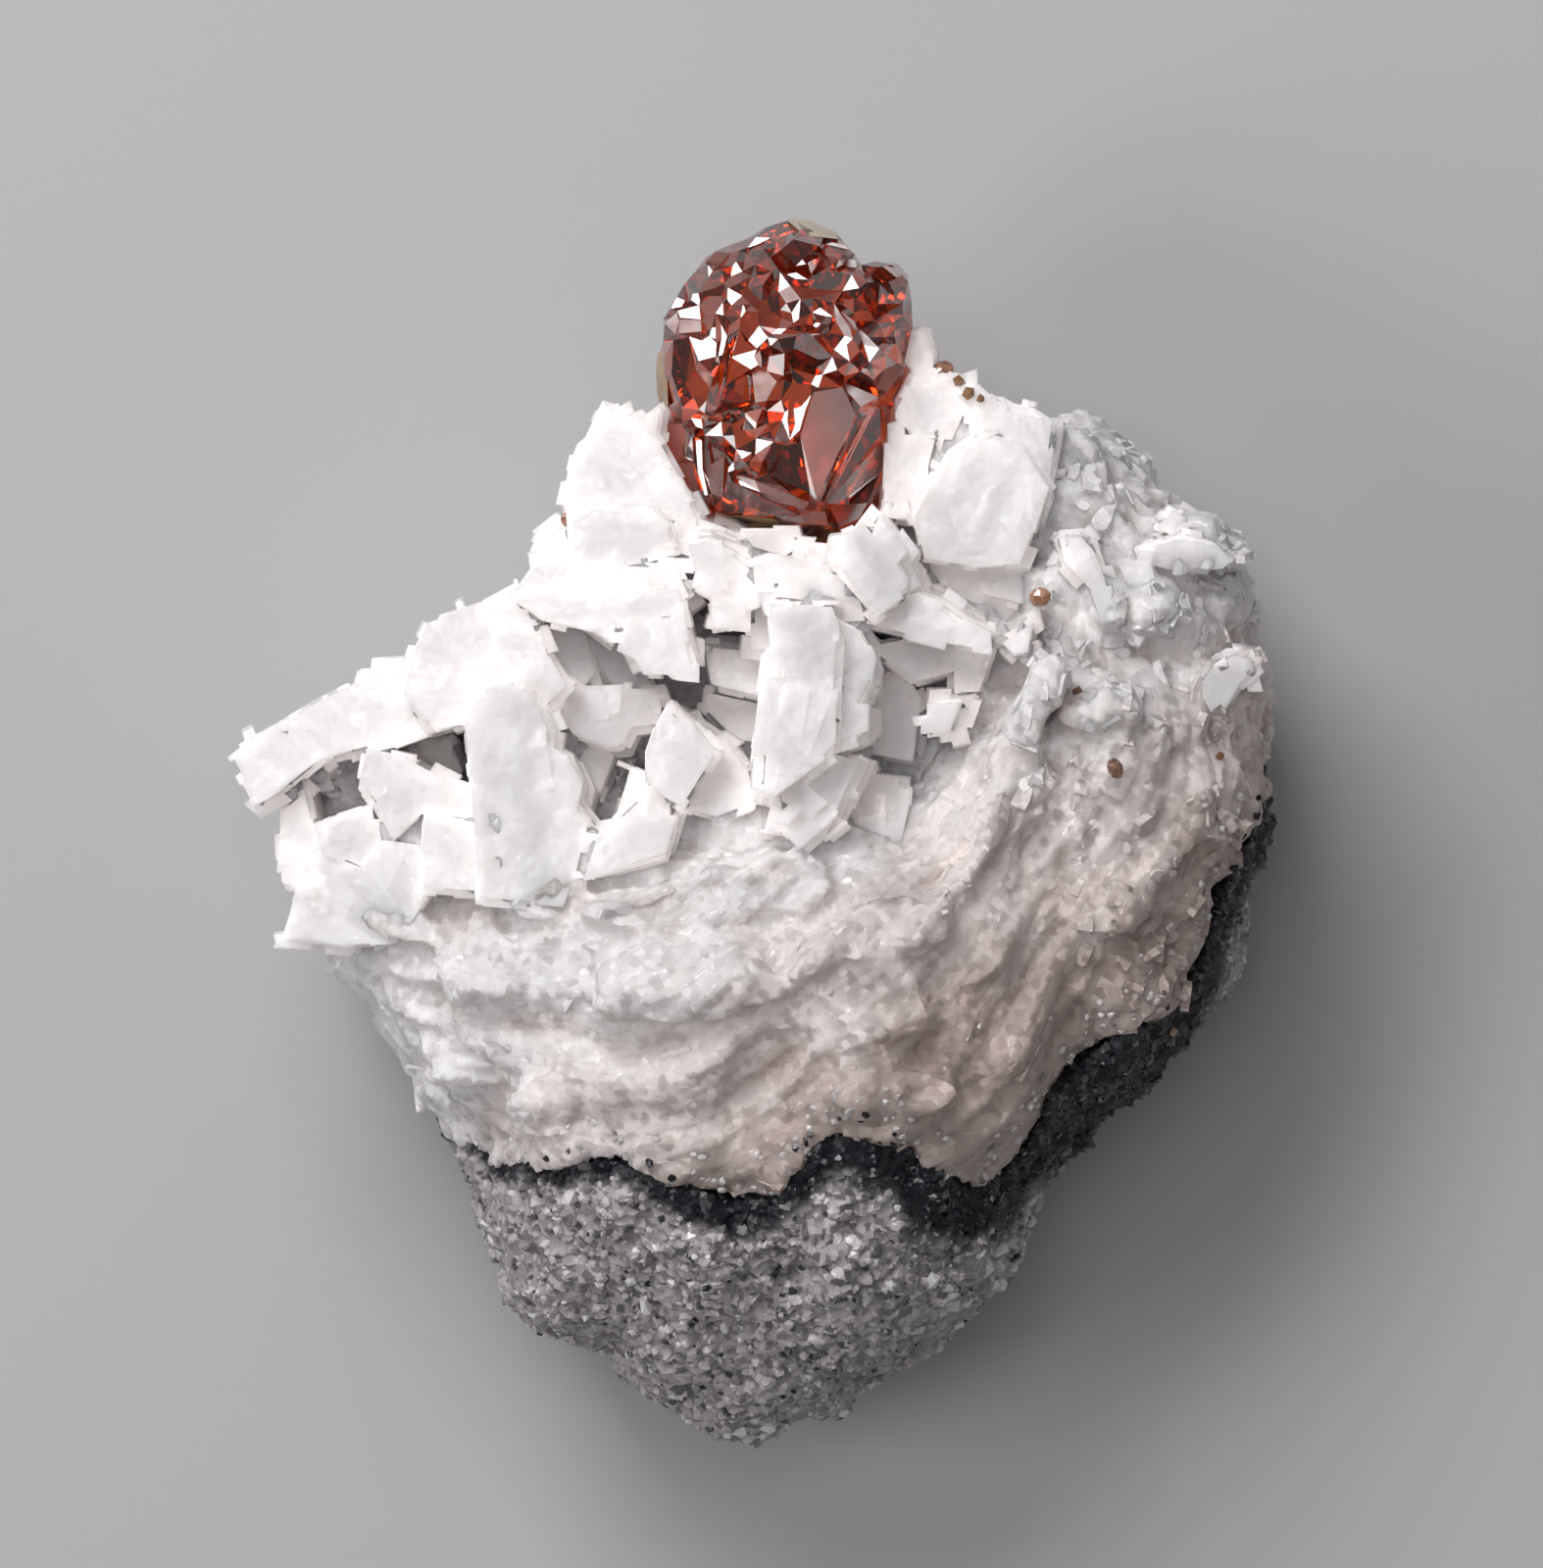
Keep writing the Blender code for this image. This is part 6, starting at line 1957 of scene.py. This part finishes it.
class Studio:
    """The pale floor, the soft lights and the camera that looks down on the specimen."""

    frame_height = 88.6
    frame_centre = (1.16, 2.77)
    frame_plane = 28.0
    camera_distance = 1000.0
    floor_size = 3.0
    floor_grey = (0.53, 0.53, 0.54, 1.0)
    aim = (1.0, 2.0, 25.0)
    daylight = 0.14

    def build_floor(self) -> bpy.types.Object:
        """A plain pale floor.

        Returns:
            The floor.
        """
        deselect_all()
        bpy.ops.mesh.primitive_plane_add(size=self.floor_size)
        floor = bpy.context.object
        floor.name = "studio_floor"
        material = bpy.data.materials.new("pale floor")
        material.use_nodes = True
        shader = material.node_tree.nodes["Principled BSDF"]
        shader.inputs["Base Color"].default_value = self.floor_grey
        shader.inputs["Roughness"].default_value = 0.7
        floor.data.materials.append(material)
        return floor

    def build_light(self, softbox: Softbox) -> None:
        """Hang a softbox that faces the specimen.

        Args:
            softbox: The softbox.
        """
        data = bpy.data.lights.new(softbox.name, "AREA")
        data.size = softbox.size * MM
        data.energy = softbox.power
        lamp = bpy.data.objects.new(softbox.name, data)
        lamp.location = Vector(softbox.place) * MM
        away = Vector(softbox.place) - Vector(self.aim)
        lamp.rotation_euler = away.to_track_quat("Z", "Y").to_euler()
        bpy.context.scene.collection.objects.link(lamp)

    def build_camera(self) -> None:
        """A long lens straight above the specimen, framed as the photograph is."""
        data = bpy.data.cameras.new("camera")
        data.sensor_fit = "VERTICAL"
        data.lens = data.sensor_height * self.camera_distance / self.frame_height
        data.clip_end = 10.0
        camera = bpy.data.objects.new("camera", data)
        x, y = self.frame_centre
        camera.location = Vector((x, y, self.frame_plane + self.camera_distance)) * MM
        bpy.context.scene.collection.objects.link(camera)
        bpy.context.scene.camera = camera

    def build(self) -> bpy.types.Object:
        """Set up the studio and hand back its floor.

        Returns:
            The floor.
        """
        self.build_camera()
        for softbox in SOFTBOXES:
            self.build_light(softbox)
        world = bpy.data.worlds.new("studio light")
        world.use_nodes = True
        background = world.node_tree.nodes["Background"]
        background.inputs["Color"].default_value = (1.0, 1.0, 1.0, 1.0)
        background.inputs["Strength"].default_value = self.daylight
        bpy.context.scene.world = world
        bpy.context.scene.view_settings.view_transform = "Standard"
        return self.build_floor()


def rest_flat(piece: bpy.types.Object) -> None:
    """Flatten what of a piece dips under the floor, where the specimen rests."""
    for vertex in piece.data.vertices:
        vertex.co.z = max(vertex.co.z, 0.0)


def main() -> None:
    """Dress the specimen, piece by piece, in its studio."""
    logging.basicConfig(level=logging.INFO, format="%(message)s")
    noise.seed_set(NOISE_SEED)
    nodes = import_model()["nodes"]
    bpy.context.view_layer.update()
    Studio().build()
    effects = Effects()

    massive = DolomiteFinish("massive dolomite", massive=True).make(effects)
    vein = Vein().build(massive)
    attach(vein, "root")
    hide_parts("dolomite_crystals")
    log.info("vein: %d faces", len(vein.data.polygons))

    shallow = DolomiteFinish("dolomite splinters", massive=True, glow=0.0).make(effects)
    plates = CleavageFlakes().build(vein, shallow)
    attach(plates, "root")
    log.info("cleavage plates: %d faces", len(plates.data.polygons))

    free = DolomiteFinish("free dolomite", light_reach=2.0).make(effects)
    blades = CrystalCrust().build(free)
    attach(blades, "root")
    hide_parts("dolomite_crystals")
    log.info("free crystals: %d faces", len(blades.data.polygons))

    host = HostRock().build(HostRockFinish().make(effects))
    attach(host, "root")
    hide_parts("dolostone_matrix")
    log.info("host rock: %d faces", len(host.data.polygons))

    grains = HostGrains().build(host, vein, HostGrainFinish().make(effects))
    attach(grains, "root")
    log.info("host grains: %d faces", len(grains.data.polygons))

    red = SphaleriteFinish().make(effects)
    gem = GemCrystal().build(red)
    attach(gem, "root")
    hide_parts("sphalerite_crystal")
    log.info("gem: %d faces", len(gem.data.polygons))

    amber = AmberFinish("small sphalerite").make(effects)
    brown = AmberFinish("brown sphalerite", (0.30, 0.14, 0.07), (0.11, 0.045, 0.02)).make(effects)
    for name in SMALL_CRYSTALS:
        nodes[name].data.materials.clear()
        nodes[name].data.materials.append(brown if name == "brown_sphalerite_grain" else amber)

    resin = ResinFinish().make(effects)
    crust = GemCrust().build(GemCrystal(), resin)
    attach(crust, "root")
    log.info("gem crust: %d faces", len(crust.data.polygons))
    specks = BrownSpecks().build((vein, blades, host), resin)
    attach(specks, "root")
    log.info("brown specks: %d faces", len(specks.data.polygons))

    for piece in (vein, plates, blades, host, grains):
        rest_flat(piece)


if __name__ == "__main__":
    main()
